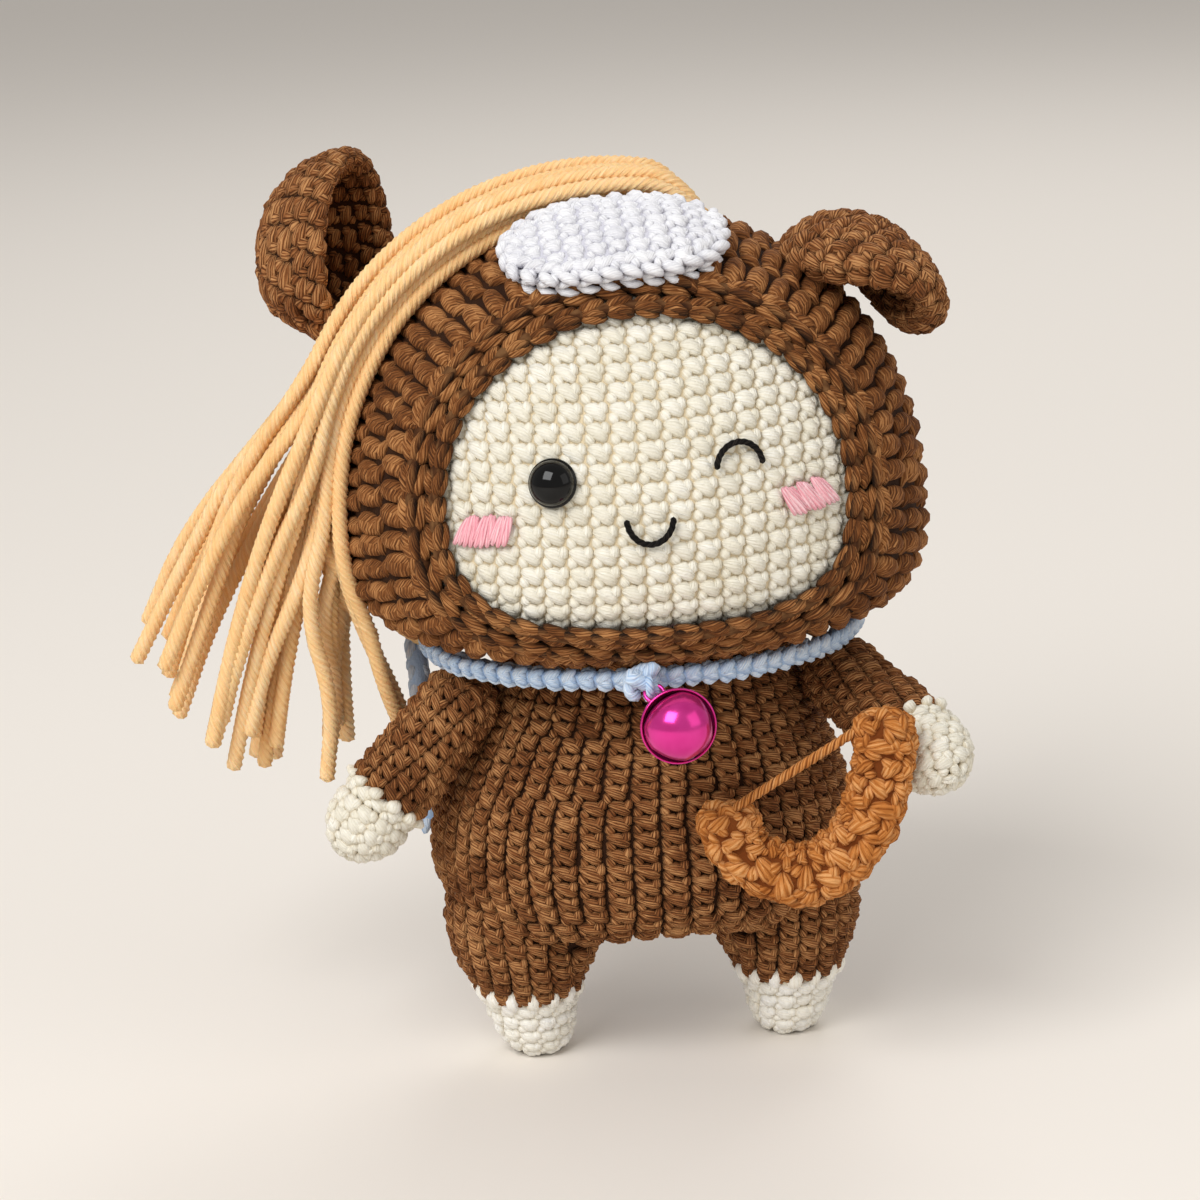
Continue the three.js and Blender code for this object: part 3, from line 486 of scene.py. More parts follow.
# %% Lines that are read by their length
def rounded(points, times=2):
    """Cuts the corners of an open line so that it runs smoothly; its ends stay."""
    for _ in range(times):
        cut = [points[0]]
        for a, b in zip(points, points[1:]):
            cut += [a.lerp(b, 0.25), a.lerp(b, 0.75)]
        points = cut + [points[-1]]
    return points


def measured(points):
    """A function that gives the point at a distance along a line, and the line's length."""
    marks = [0.0]
    for a, b in zip(points, points[1:]):
        marks.append(marks[-1] + (b - a).length)

    def at(distance):
        distance = min(max(distance, 0.0), marks[-1])
        i = min(max(bisect.bisect_right(marks, distance), 1), len(points) - 1)
        span = marks[i] - marks[i - 1]
        return points[i - 1].lerp(points[i], (distance - marks[i - 1]) / span if span else 0)

    return at, marks[-1]


def rows_of(length, pitch):
    """The borders of the rows that fill a length, each about one pitch high."""
    count = max(round(length / pitch), 1)
    return [length * i / count for i in range(count + 1)]


# %% [markdown]
# ## Body and legs
# The suit is one stuffed bag that widens to the hips and splits into two short legs. Its outline is a
# line of half-widths and half-depths up the axis, and so are the legs'. Where a leg meets the torso the
# crochet runs on without a crease: both surfaces are moved out to one smooth skin there, and stitches
# that would lie inside the other form are left out.

# %% Outlines of the torso and the legs
crotch_z = 24
torso_shares = [(0, 0, 0), (0, 0.62, 0.66), (0.02, 0.8, 0.82), (0.06, 0.91, 0.91), (0.12, 0.985, 0.96),
                (0.2, 1.025, 0.99), (0.27, 1.035, 1), (0.4, 1.02, 0.995), (0.5, 0.98, 0.98),
                (0.62, 0.91, 0.945), (0.74, 0.82, 0.9), (0.84, 0.762, 0.855), (0.93, 0.712, 0.81),
                (1, 0.64, 0.74)]
torso_line = rounded([Vector((36.6 * wide, 26.5 * deep, crotch_z + 50.7 * up))
                      for up, wide, deep in torso_shares])
torso_at, torso_length = measured(torso_line)
leg_shares = [(0, 0), (0, 0.3), (0.02, 0.4), (0.07, 0.49), (0.17, 0.57), (0.29, 0.63), (0.45, 0.72),
              (0.6, 0.86), (0.75, 0.96), (0.9, 1.02), (1.05, 1.03), (1.25, 0.98)]
leg_line = rounded([Vector((12.6 * wide, 14 * wide, crotch_z * up)) for up, wide in leg_shares], 1)
leg_at, leg_length = measured(leg_line)
print("torso outline", round(torso_length, 1), "mm long, leg outline", round(leg_length, 1), "mm")


def half_at(line, z):
    """Half-width and half-depth of an outline at a height."""
    for a, b in zip(line, line[1:]):
        if a.z <= z <= b.z and b.z > a.z:
            return a.lerp(b, (z - a.z) / (b.z - a.z))
    return line[-1] if z > line[-1].z else line[1]


def hip_lean(z):
    """How far the hips stand to the doll's right at a height."""
    return -1.4 * min(max((68 - z) / 20, 0), 1) * min(z / crotch_z, 1)


def leg_middle(side, z):
    """The middle of a leg at a height."""
    return Vector((side * (22.4 + z / crotch_z) + (hip_lean(z) if side < 0 else 0), -3, z))


def outside_leg(place, side):
    """About how far a place lies outside a leg, below zero inside it."""
    half = half_at(leg_line, place.z)
    away = place - leg_middle(side, place.z)
    across = (math.hypot(away.x / half.x, away.y / half.y) - 1) * half.x
    return max(across, place.z - leg_line[-1].z)


def outside_torso(place):
    """About how far a place lies outside the torso, below zero inside it."""
    half = half_at(torso_line, max(place.z, crotch_z + 0.2))
    across = (math.hypot((place.x - hip_lean(place.z)) / half.x, place.y / half.y) - 1) * half.y
    below = crotch_z - place.z
    return math.hypot(max(across, 0), below) if below > 0 else across


def skin_reach(distance, width=14.0):
    """How far two forms grow towards each other at a distance, so that one smooth skin joins them."""
    return max(width - abs(distance), 0) ** 2 / (4 * width)


def torso_point(turn, distance):
    """The torso's surface at a turn round it and a distance along its outline, drawn down to the legs."""
    half = torso_at(distance)
    angle = 2 * math.pi * (turn - 0.25)
    place = Vector((hip_lean(half.z) + half.x * math.cos(angle), half.y * math.sin(angle), half.z))
    run = torso_at(distance + 0.5) - torso_at(distance - 0.5)
    under = max(run.x / max(run.length, 1e-6), 0) if half.z < crotch_z + 6 else 0
    nearest = min(outside_leg(place, -1), outside_leg(place, 1))
    return place - Vector((0, 0, skin_reach(nearest) * under ** 2))


def leg_point(side):
    """The surface of one leg."""
    def point(turn, distance):
        half = leg_at(distance)
        angle = 2 * math.pi * (turn - 0.25)
        out = Vector((math.cos(angle), math.sin(angle), 0))
        place = leg_middle(side, half.z) + Vector((half.x * out.x, half.y * out.y, 0))
        beyond = place + out * 4
        under = min(max(6 * (1 - math.hypot((beyond.x - hip_lean(place.z)) / 31, beyond.y / 22.5)), 0), 1)
        return place + out * (skin_reach(crotch_z - place.z) * under)
    return point


def torso_shows(place):
    """Whether a stitch of the torso lies outside both legs."""
    return min(outside_leg(place, -1), outside_leg(place, 1)) > (2.0 if place.z < crotch_z - 0.2 else -0.7)


def leg_shows(place):
    """Whether a stitch of a leg lies outside the torso, or far enough under it."""
    return outside_torso(place) > (1.8 if abs(place.x) < 16 else -0.7)


# %% Sewing the torso
def sixes(length, width):
    """A stitch count near length over width, in sixes, as rounds are worked."""
    return max(6 * round(length / width / 6), 6)


skin_depth = 1.5
row_height = 3.0
torso = new_cloth()
under_skin(torso, torso_point, 48, 30, skin_depth, 0, torso_length)
sewn = 0
rows = rows_of(torso_length, row_height)
for low, high in zip(rows, rows[1:]):
    half = torso_at((low + high) / 2)
    around = math.pi * (half.x + half.y)
    sewn += sew_round(torso, snug_crochet, torso_point, low, high, sixes(around, 4.25), 0, torso_shows)
print("torso stitches:", sewn)
finish_piece("torso_crochet", torso, brown_yarn, "body", ["torso"])

# %% Sewing the legs and feet
foot_top = 10.8
just_above_floor = 0.02
for side, name in ((-1, "right"), (1, "left")):
    surface = leg_point(side)
    foot = new_cloth()
    leg = new_cloth()
    split = next(d / 10 for d in range(int(leg_length * 10)) if leg_at(d / 10).z >= foot_top)
    under_skin(leg, surface, 24, 12, skin_depth, split, leg_length)
    under_skin(foot, surface, 24, 14, 0.9, 0, split + 0.5)
    for cloth, template, low_end, high_end, width in (
            (foot, plump_crochet, 0, split, 3.9),
            (leg, snug_crochet, split, leg_length, 4.2)):
        rows = [low_end + d for d in rows_of(high_end - low_end, row_height)]
        for low, high in zip(rows, rows[1:]):
            half = leg_at((low + high) / 2)
            count = max(round(math.pi * (half.x + half.y) / width), 5)
            sew_round(cloth, template, surface, low, high, count, 0, leg_shows)
            if cloth is foot and high > split - 0.1:
                sew_points(foot, surface, split, count, 0.1)
    for cloth in (foot, leg):
        for vert in cloth.verts:
            vert.co.z = max(vert.co.z, just_above_floor)
    finish_piece(name + "_leg_crochet", leg, brown_yarn, "body", [name + "_leg"])
    finish_piece(name + "_foot_crochet", foot, lit_foot_yarn, "body", [name + "_foot"])

# %% [markdown]
# ## Arms
# Each arm is a short tube with a rounded shoulder, and its hand is a cream ball worked on the same
# rounds. The rounds are counted from the hand's tip, so that the stitches point up the arm as the
# maker worked them. Each arm rides on its own body, because the sewn shoulders swing.

# %% Arms and hands
arm_pivots = {"right": Vector((-33.133, -9, 66.5)), "left": Vector((33.133, -9, 66.5))}
arm_ways = {"right": Vector((-0.672, -0.122, -0.731)).normalized(),
            "left": Vector((0.46, -0.81, -0.363)).normalized()}
hand_radius = 7.4
hand_reach = 24.7
hand_shares = (1, 0.985, 0.95, 0.85, 0.7, 0.5, 0.25, 0, -0.25)
hand_line = [Vector((hand_radius * math.sqrt(1 - s * s), 0, hand_reach + 8.5 * s)) for s in hand_shares]
hand_line += [Vector((7.35, 0, 20.4))]
sleeve_line = [Vector((7.6, 0, 20.6)), Vector((7.8, 0, 15)), Vector((7.2, 0, 6.7))]
shoulder_angles = (0, 0.35, 0.7, 1.05, 1.3, 1.48, math.pi / 2)
sleeve_line += [Vector((7.2 * math.cos(a), 0, -6.8 * math.sin(a))) for a in shoulder_angles]


def limb_point(start, way, line_at):
    """A round limb along a way; its first distance is at the hand's end."""
    first = way.orthogonal().normalized()
    second = way.cross(first)

    def point(turn, distance):
        spot = line_at(distance)
        angle = -2 * math.pi * turn
        return start + way * spot.z + (first * math.cos(angle) + second * math.sin(angle)) * spot.x
    return point


for name in ("right", "left"):
    for part, line, template, material, width in (
            ("hand", hand_line, plump_crochet, cream_yarn, 3.9),
            ("sleeve", sleeve_line, snug_crochet, brown_yarn, 4.1)):
        line_at, length = measured(line)
        surface = limb_point(arm_pivots[name], arm_ways[name], line_at)
        cloth = new_cloth()
        under_skin(cloth, surface, 20, 16, skin_depth, 0, length)
        rows = rows_of(length, row_height)
        for number, (low, high) in enumerate(zip(rows, rows[1:])):
            count = max(round(2 * math.pi * line_at((low + high) / 2).x / width), 5)
            sew_round(cloth, template, surface, low, high, count, 0.013 * number)
        if part == "hand":
            sew_points(cloth, surface, length - 0.6, 12, 0.9)
        finish_piece(f"{name}_{part}_crochet", cloth, material, name + "_arm", [f"{name}_{part}"])

# %% [markdown]
# ## Head and face
# The head is a stuffed ball, wider than it is tall, flattened below where it sits on the body. The face
# is the part of the ball that the hood leaves open: an egg shape with its wide end up. Its stitches run
# in level rows, and small holes show at their corners.

# %% Head surface
head_middle = Vector((0, 0, 96.8))
face_x = -1.1
face_z = 103.8
face_half_width = 33.2
ball_lift = -4.5
print("face opening", 2 * face_half_width, "mm wide, its middle", face_z, "mm up")


def head_sizes(lift, below):
    """Half-width, half-depth, height and power of the hood's outside, lifted; the part below is flatter."""
    return 50.6 + lift, 44.5 + lift, (21.8 if below else 52) + lift, 3.6 if below else 2.1


def head_point(way, lift=0.0):
    """Where a way from the head's middle meets its outside."""
    wide, deep, high, power = head_sizes(lift, way.z < 0)
    reach = math.hypot(way.x / wide, way.y / deep) ** power + (abs(way.z) / high) ** power
    return head_middle + way * reach ** (-1 / power)


def face_point(x, z, lift=ball_lift):
    """The front of the head at a width and a height."""
    wide, deep, high, power = head_sizes(lift, z < head_middle.z)
    level = max(1 - (abs(z - head_middle.z) / high) ** power, 0) ** (1 / power)
    return Vector((x, -deep * math.sqrt(max(level ** 2 - (x / wide) ** 2, 0)), z))


def egg_form(upper):
    """Power and height of the face opening's upper or lower half."""
    return (2.1, 30.9) if upper else (3, 18.2)


def egg(turn, more):
    """A point on the edge of the face opening, made wider by more; turns run clockwise from the side."""
    c, s = math.cos(-2 * math.pi * turn), math.sin(-2 * math.pi * turn)
    power, height = egg_form(s >= 0)
    return (face_x + math.copysign(abs(c) ** (2 / power), c) * (face_half_width + more),
            face_z + math.copysign(abs(s) ** (2 / power), s) * (height + more))


def in_egg(x, z, more):
    """Whether a place on the face lies in the opening, made wider by more."""
    power, height = egg_form(z >= face_z)
    across, up = abs(x - face_x) / (face_half_width + more), abs(z - face_z) / (height + more)
    return across ** power + up ** power < 1


def outwards(place):
    """The way out of the head at a place near its surface."""
    wide, deep, high, power = head_sizes(0, place.z < head_middle.z)
    up = (place.z - head_middle.z) / high ** 2
    return Vector((place.x / wide ** 2, place.y / deep ** 2, up)).normalized()


# %% Face stitches
face_rows = [face_point(face_x, 81.3 + 0.5 * i) for i in range(118)]
face_row_at, face_height = measured(face_rows)


def face_cell(column, distance):
    """The face at a column of stitches and a distance up its middle line."""
    return face_point(face_x + 46 * math.sin(column * 4.1 / 44), face_row_at(distance).z)


def face_skin(turn, share):
    """The face from the edge of its opening, share 0, to its middle, share 1."""
    x, z = egg(turn, 5)
    return face_point(face_x + (x - face_x) * (1 - share), face_z + (z - face_z) * (1 - share))


face = new_cloth()
under_skin(face, face_skin, 48, 16, 1.0)
face_bands = rows_of(face_height, 3.35)
sewn = 0
for low, high in zip(face_bands, face_bands[1:]):
    middle = (low + high) / 2
    for column in range(-10, 11):
        place = face_cell(column, middle)
        if in_egg(place.x, place.z, 4):
            sew(face, full_crochet, place, face_cell(column + 0.5, middle) - face_cell(column - 0.5, middle),
                face_cell(column, high) - face_cell(column, low), loose=0.4)
            sewn += 1
print("face stitches:", sewn)
finish_piece("face_crochet", face, cream_yarn, "head", ["head_ball"])

# %% [markdown]
# ## Hood
# The hood is worked in rounds that start at the face opening and close at the back of the head. Its
# tall stitches stand side by side as ribs that point away from the face. The rounds follow ways that
# swing from the edge of the opening to one point at the back, a little below its middle, so that the
# rounds also close under the head.

# %% Hood
back_pole = Vector((0, 0.97, -0.15)).normalized()


def hood_point(turn, share):
    """The hood from the edge of the face opening, share 0, to the pole at the back, share 1."""
    start = (face_point(*egg(turn, 6.6), 0) - head_middle).normalized()
    return head_point(start.slerp(back_pole, share))


def evenly_round(share):
    """The hood's surface with its turns spread evenly along one round, and that round's length."""
    steps = 144
    ring = [hood_point(i / steps, share) for i in range(steps + 1)]
    marks = [0.0]
    for a, b in zip(ring, ring[1:]):
        marks.append(marks[-1] + (b - a).length)

    def point(turn, share):
        distance = turn % 1 * marks[-1]
        i = min(max(bisect.bisect_right(marks, distance), 1), steps)
        return hood_point((i - 1 + (distance - marks[i - 1]) / (marks[i] - marks[i - 1])) / steps, share)
    return point, marks[-1]


def above_neck(place):
    """Whether a rib of the hood stays clear of the neck."""
    return place.z > 77 or math.hypot(place.x / 24, place.y / 20) > 1


hood = new_cloth()
under_skin(hood, hood_point, 60, 30, skin_depth)
hood_rows = 12
sewn = 0
for row in range(hood_rows):
    low, high = row / hood_rows, (row + 1) / hood_rows
    even_point, around = evenly_round((low + high) / 2)
    count = sixes(around, 4.05)
    sewn += sew_round(hood, wrapped_rib, even_point, low, high, count, 0.004 * row, above_neck)
print("hood ribs:", sewn)
finish_piece("hood_crochet", hood, hood_yarn, "head", ["hood"])

# %% [markdown]
# ## Chains round the face
# Two edges close the hood: a broad one whose loops lean both ways like a fishbone, and a thin one
# inside it that lies on the face. Both are chains laid on a cord, so that no gap shows under them.

# %% Cords and chains
# Painted shade: this low rise gives a plain cord the yarn's pit colour, as the shade of the chains over it.
plain_rise = 0.3  # a cord without plies lies under chains, in their shade


def tube(cloth, points, radius, around=12, step=0.8, plies=0, pitch=6.4, groove=0.25, threads=2, blunt=1.0):
    """A round cord along points; with plies it is twisted, one full turn in each pitch."""
    at, length = measured(points)
    rows = max(round(length / step), 3)
    spots = [at(length * i / rows) for i in range(rows + 1)]
    ways = [(spots[min(i + 1, rows)] - spots[max(i - 1, 0)]).normalized() for i in range(rows + 1)]
    sides = [ways[0].orthogonal().normalized()]
    for way in ways[1:]:
        sides.append((sides[-1] - way * sides[-1].dot(way)).normalized())
    shade = cloth.verts.layers.float["shade"]
    rise = cloth.verts.layers.float["rise"]
    uv = cloth.loops.layers.uv["threads"]
    one_shade = chance.random()
    made = bmesh.ops.create_grid(cloth, x_segments=around, y_segments=rows, size=0.5)["verts"]
    faces = list({face for vert in made for face in vert.link_faces})
    per_turn = max(plies, 1) * threads
    for face in faces:
        for corner in face.loops:
            x, y = corner.vert.co.x + 0.5, corner.vert.co.y + 0.5
            corner[uv].uv = (x * per_turn, y * length * 0.4)
    for vert in made:
        turn = vert.co.x + 0.5
        share = min(max(vert.co.y + 0.5, 0), 1)
        i = min(round(share * rows), rows)
        ply = abs(math.cos(math.pi * turn * plies)) if plies else 1
        from_end = min(share, 1 - share) * length
        taper = math.sqrt(max(1 - (1 - min(from_end / (radius * blunt), 1)) ** 2, 0))
        reach = radius * (1 - groove + groove * ply) * taper
        angle = 2 * math.pi * (turn - (share * length / pitch if plies else 0))
        side = sides[i]
        vert.co = spots[i] + (side * math.cos(angle) + ways[i].cross(side) * math.sin(angle)) * reach
        vert[shade] = one_shade
        # Painted shade in the grooves between plies, and on a plain cord, through a low rise.
        vert[rise] = 0.08 + 0.92 * ply ** 0.8 if plies else plain_rise
    bmesh.ops.remove_doubles(cloth, verts=made, dist=1e-4)
    made = [vert for vert in made if vert.is_valid]
    bmesh.ops.recalc_face_normals(cloth, faces=list({face for vert in made for face in vert.link_faces}))


def sew_along(cloth, template, points, out_of, pitch, width, height=0.0):
    """Sews a template along a line, one every pitch, as broad as width."""
    at, length = measured(points)
    count = max(round(length / pitch), 1)
    for i in range(count):
        a, b = at(length * i / count), at(length * (i + 1) / count)
        out = out_of((a + b) / 2)
        rise = out.cross(b - a).normalized() * width
        sew(cloth, template, (a + b) / 2 + out * height, b - a, rise)


# %% Edges of the hood
def towards_face(tip):
    """A way out of the head that tips towards the middle of the face."""
    def out_of(place):
        out = outwards(place)
        inwards = face_point(face_x, face_z) - place
        inwards = (inwards - out * inwards.dot(out)).normalized()
        return out * math.cos(math.radians(tip)) + inwards * math.sin(math.radians(tip))
    return out_of


for name, radius, more, pitch, tip in (("outer", 1.95, 4.9, 5.4, 20), ("inner", 1.35, 1.75, 4.5, 35)):
    rim_line = [face_point(*egg(i / 120, more), ball_lift + 0.3 + radius) for i in range(121)]
    rim = new_cloth()
    tube(rim, rim_line, radius * 0.85, 10, 2.5)
    sew_along(rim, rim_chain, rim_line, towards_face(tip), pitch, radius * 2.3, radius * 0.95)
    sew_along(rim, rim_chain, rim_line, towards_face(tip - 65), pitch, radius * 1.9, radius * 0.8)
    finish_piece(f"hood_edge_{name}", rim, hood_yarn, "head", [f"hood_rim_{name}"])

# %% [markdown]
# ## Eye, wink, mouth and cheeks
# One eye is a glossy plastic bead with a thin flange; the other is a line of twisted black yarn, and so
# is the mouth. The cheeks are satin stitches: short strands of pink yarn laid close, in three groups.

# %% Eye bead
def lathe(shape, outline, middle, out, steps=48):
    """Spins an outline of (radius, height) pairs round the way out, at a middle."""
    made = [shape.verts.new((r, 0, h)) for r, h in outline]
    edges = [shape.edges.new(pair) for pair in zip(made, made[1:])]
    bmesh.ops.spin(shape, geom=made + edges, cent=(0, 0, 0), axis=(0, 0, 1), angle=2 * math.pi,
                   steps=steps, use_merge=True)
    bmesh.ops.remove_doubles(shape, verts=shape.verts, dist=1e-5)
    bmesh.ops.recalc_face_normals(shape, faces=shape.faces)
    turn = out.to_track_quat("Z", "Y").to_matrix().to_4x4()
    bmesh.ops.transform(shape, matrix=Matrix.Translation(middle) @ turn, verts=shape.verts)


def gloss_material(name, code, light, roughness, metallic=0.0, speckle=900):
    """Plastic or metal: one colour with a faint cloud in it, and a roughness that wanders a little."""
    material, shader = plain_material(name, code, roughness)
    shader.inputs["Metallic"].default_value = metallic
    tree = material.node_tree
    place = tree.nodes.new("ShaderNodeTexCoord")
    cloud = tree.nodes.new("ShaderNodeTexNoise")
    cloud.inputs["Scale"].default_value = speckle
    ramp = tree.nodes.new("ShaderNodeValToRGB")
    ramp.color_ramp.elements[0].color = linear(code)
    ramp.color_ramp.elements[1].color = linear(light)
    rough = tree.nodes.new("ShaderNodeMapRange")
    rough.inputs["To Min"].default_value = roughness * 0.7
    rough.inputs["To Max"].default_value = roughness * 1.3
    tree.links.new(place.outputs["Object"], cloud.inputs["Vector"])
    tree.links.new(cloud.outputs["Fac"], ramp.inputs["Fac"])
    tree.links.new(ramp.outputs["Color"], shader.inputs["Base Color"])
    tree.links.new(cloud.outputs["Fac"], rough.inputs["Value"])
    tree.links.new(rough.outputs[0], shader.inputs["Roughness"])
    return material


black_plastic = gloss_material("black_plastic", "020202", "050404", 0.06)
black_plastic.node_tree.nodes["Principled BSDF"].inputs["Specular IOR Level"].default_value = 0.3
washer_plastic = gloss_material("washer_plastic", "d8d6d0", "ebe9e4", 0.4)
magenta_metal = gloss_material("magenta_metal", "d42a88", "ee46a6", 0.2, 0.75, 400)
pellet_steel = gloss_material("pellet_steel", "8c8c8e", "a9a9ab", 0.35, 1.0)

eye_place = face_point(-17.1, 110.2)
eye_out = outwards(eye_place)
eye = bmesh.new()
dome = [(3.75 * math.cos(a), 0.8 + 3.0 * math.sin(a)) for a in [math.pi / 2 * i / 12 for i in range(13)]]
post_and_flange = [(0, -6), (1.2, -6), (1.2, 0), (3.95, 0.1), (4.1, 0.35), (3.98, 0.62), (3.8, 0.68)]
lathe(eye, post_and_flange + dome[:-1] + [(0, 3.8)], eye_place, eye_out)
finish_piece("eye_bead_glossy", eye, black_plastic, "head", ["eye_bead"])

# %% Wink and mouth
def face_line(x, z, half_width, height, lift):
    """A half wave on the face."""
    angles = [math.pi * i / 24 for i in range(25)]
    return [face_point(x - half_width * math.cos(a), z + height * math.sin(a), lift) for a in angles]


for name, spot in (("wink", (13.3, 111.0, 3.9, 4.0)), ("mouth", (-2.1, 104.3, 3.8, -4.3))):
    line = new_cloth()
    tube(line, face_line(*spot, ball_lift + 0.75), 0.55, 12, 0.25, plies=3, pitch=3.4, threads=3)
    finish_piece(f"{name}_yarn", line, black_yarn, "head", [f"{name}_stitch"])

# %% Cheeks
satin = stitch_template("satin", (1, 1), [
    dict(size=(1, 1, 0.9), place=(0, 0, 0), slant=0, threads=6, blunt=0.6, along=7)])
for name, x, z, lean in (("right", -28.3, 102.1, 24), ("left", 25.0, 104.4, -30)):
    cheek = new_cloth()
    middle = face_point(x, z)
    out = outwards(middle)
    across = Vector((0, 0, 1)).cross(-out).normalized()
    up = across.cross(-out)
    across, up = (across if across.x > 0 else -across), (up if up.z > 0 else -up)
    for group in (-1, 0, 1):
        for i in range(4):
            slide = (i - 1.5) * 0.8
            tilt_now = math.radians(90 - lean + (i - 1.5) * 5)
            way = across * math.cos(tilt_now) + up * math.sin(tilt_now)
            length = 6.5 - 0.4 * abs(i - 1.5) - 0.4 * abs(group)
            start = middle + across * (3.15 * group + slide) + up * (0.25 * group + chance.gauss(0, 0.12))
            place = start + out * (0.45 - 0.12 * abs(i - 1.5))
            sew(cheek, satin, place, way * length, out.cross(way) * 1.3, loose=0.5)
    finish_piece(f"{name}_cheek_satin", cheek, pink_yarn, "head", [f"{name}_cheek"])

# %% [markdown]
# ## White patch on the hood
# A white oval sits on the hood above the face. It is worked in loose rows with a chain along its edge.

# %% Brow patch
patch_middle = Vector((-3.3, -16.1, 52))
patch_side = (Vector((1, 0, 0)) - patch_middle * (patch_middle.x / patch_middle.length_squared)).normalized()
patch_up = patch_middle.cross(patch_side).normalized()


def patch_cell(u, v, lift=3.4):
    """The patch at a width and a height from its middle, lifted off the hood."""
    return head_point(patch_middle + patch_side * u + patch_up * v, lift)


def patch_edge(turn, share):
    """The patch's dome: share 0 is its edge on the hood, share 1 its middle."""
    c, s = math.cos(2 * math.pi * turn), math.sin(2 * math.pi * turn)
    u = math.copysign(abs(c) ** 0.7, c) * 19.6 * (1 - share)
    v = math.copysign(abs(s) ** 0.8, s) * 12.2 * (1 - share)
    edge = min(share / 0.14, 1)
    return patch_cell(u, v, 0.2 + 3.2 * math.sqrt(1 - (1 - edge) ** 2))


patch = new_cloth()
under_skin(patch, patch_edge, 40, 10, 0.9)
for row in range(-3, 4):
    for column in range(-5, 6):
        u, v = column * 3.6, row * 3.4
        if (abs(u) / 19) ** 2.8 + (abs(v) / 11.6) ** 2.8 < 1:
            sew(patch, full_crochet, patch_cell(u, v), patch_cell(u + 1.8, v) - patch_cell(u - 1.8, v),
                patch_cell(u, v + 1.7) - patch_cell(u, v - 1.7), loose=1.5)


def off_the_patch(place):
    """A way that leans out over the edge of the patch."""
    return (outwards(place) * 0.4 + (place - patch_cell(0, 0)).normalized()).normalized()


top_line = [patch_edge(i / 60, 0.06) for i in range(61)]
sew_along(patch, chain, top_line, outwards, 3.4, 3.9, 0.6)
foot_line = [patch_edge(i / 60, 0.0) for i in range(61)]
sew_along(patch, chain, foot_line, off_the_patch, 3.4, 2.6, 0.9)
finish_piece("brow_patch_crochet", patch, white_yarn, "head", ["brow_patch"])

# %% [markdown]
# ## Ears
# An ear is a flat pad of two discs worked in rounds of six, twelve, eighteen and twenty-four, and then
# curled like a leaf. Its outline is that of a thick coin; each of its points is bent round a roll.

# %% Ears
pad_radius = 18
pad_corners = ((0, -2.4), (16.4, -2.4), (pad_radius, -1.2), (pad_radius, 1.2), (16.4, 2.4), (0, 2.4))
pad_line = rounded([Vector((r, 0, z)) for r, z in pad_corners], 1)
pad_at, pad_length = measured(pad_line)


def pad_arrows(axis, toward):
    """Three arrows of a pad: up it, across it, and out of its opening."""
    axis = axis.normalized()
    across = axis.cross(toward).normalized()
    return axis, across, across.cross(axis)


def cupped_point(axis, toward, place):
    """A pad drawn into a cup; its lowest part leans over to the head."""
    axis, across, facing = pad_arrows(axis, toward)

    def point(turn, distance):
        spot = pad_at(distance)
        bend = 1.6 * spot.x / pad_radius
        over = -spot.z
        high = (17.2 + over) * math.sin(bend) * math.sin(2 * math.pi * turn)
        wide = (12.8 + over) * math.sin(bend) * math.cos(2 * math.pi * turn)
        low = max(-high / 19.6 - 0.3, 0) / 0.7
        leaning = Vector((11 * low ** 2, 0, 0))
        return place + axis * high + across * wide - facing * ((16.2 + over) * math.cos(bend)) + leaning
    return point


def rolled_point(axis, toward, place):
    """A thick pad bent round a roll that is narrower at both ends, with its opening below."""
    roll = 11.4
    axis, across, facing = pad_arrows(axis, toward)

    def point(turn, distance):
        spot = pad_at(distance)
        x, y = spot.x * math.cos(2 * math.pi * turn), spot.x * math.sin(2 * math.pi * turn)
        reach = (roll - 1.6 * spot.z) * (1 - (0.25 if y > 0 else 0.6) * (y / pad_radius) ** 2)
        bend = x / roll
        return place + across * (reach * math.sin(bend)) + axis * y - facing * (reach * math.cos(bend) - 2.0)
    return point


def out_of_head(place):
    """Whether a stitch of an ear lies outside the hood."""
    return (place - head_middle).length > (head_point(place - head_middle) - head_middle).length - 1.5


right_ear = cupped_point(Vector((0.03, 0.1, 1)), Vector((0.87, -0.49, 0)), Vector((-44.2, 21.5, 139.8)))
left_ear = rolled_point(Vector((0.28, -0.94, -0.18)), Vector((-0.56, 0, -0.83)), Vector((38.1, -5.5, 133.0)))
for name, surface, pitch in (("right", right_ear, 2.3), ("left", left_ear, 3.1)):
    ear = new_cloth()
    under_skin(ear, surface, 30, 20, 1.0, 0, pad_length)
    bands = rows_of(pad_length, pitch)
    for number, (low, high) in enumerate(zip(bands, bands[1:])):
        radius = pad_at((low + high) / 2).x
        count = sixes(2 * math.pi * radius, 4.2)
        sew_round(ear, ear_crochet, surface, low, high, count, 0.01 * number, out_of_head)
    finish_piece(f"{name}_ear_crochet", ear, brown_yarn, "head", [f"{name}_ear"])

# %% [markdown]
# ## Mane
# The mane is a bundle of loose strands, knotted in at the crown. They run over the side of the head side
# by side, one layer over another, and fan out below. Each strand is a twist of four plies, which is
# what makes it read as yarn, so the twist is modelled.

# %% Mane
lanes = 9
layers = 4
last = lanes * layers - 1
mane_z = 121.8


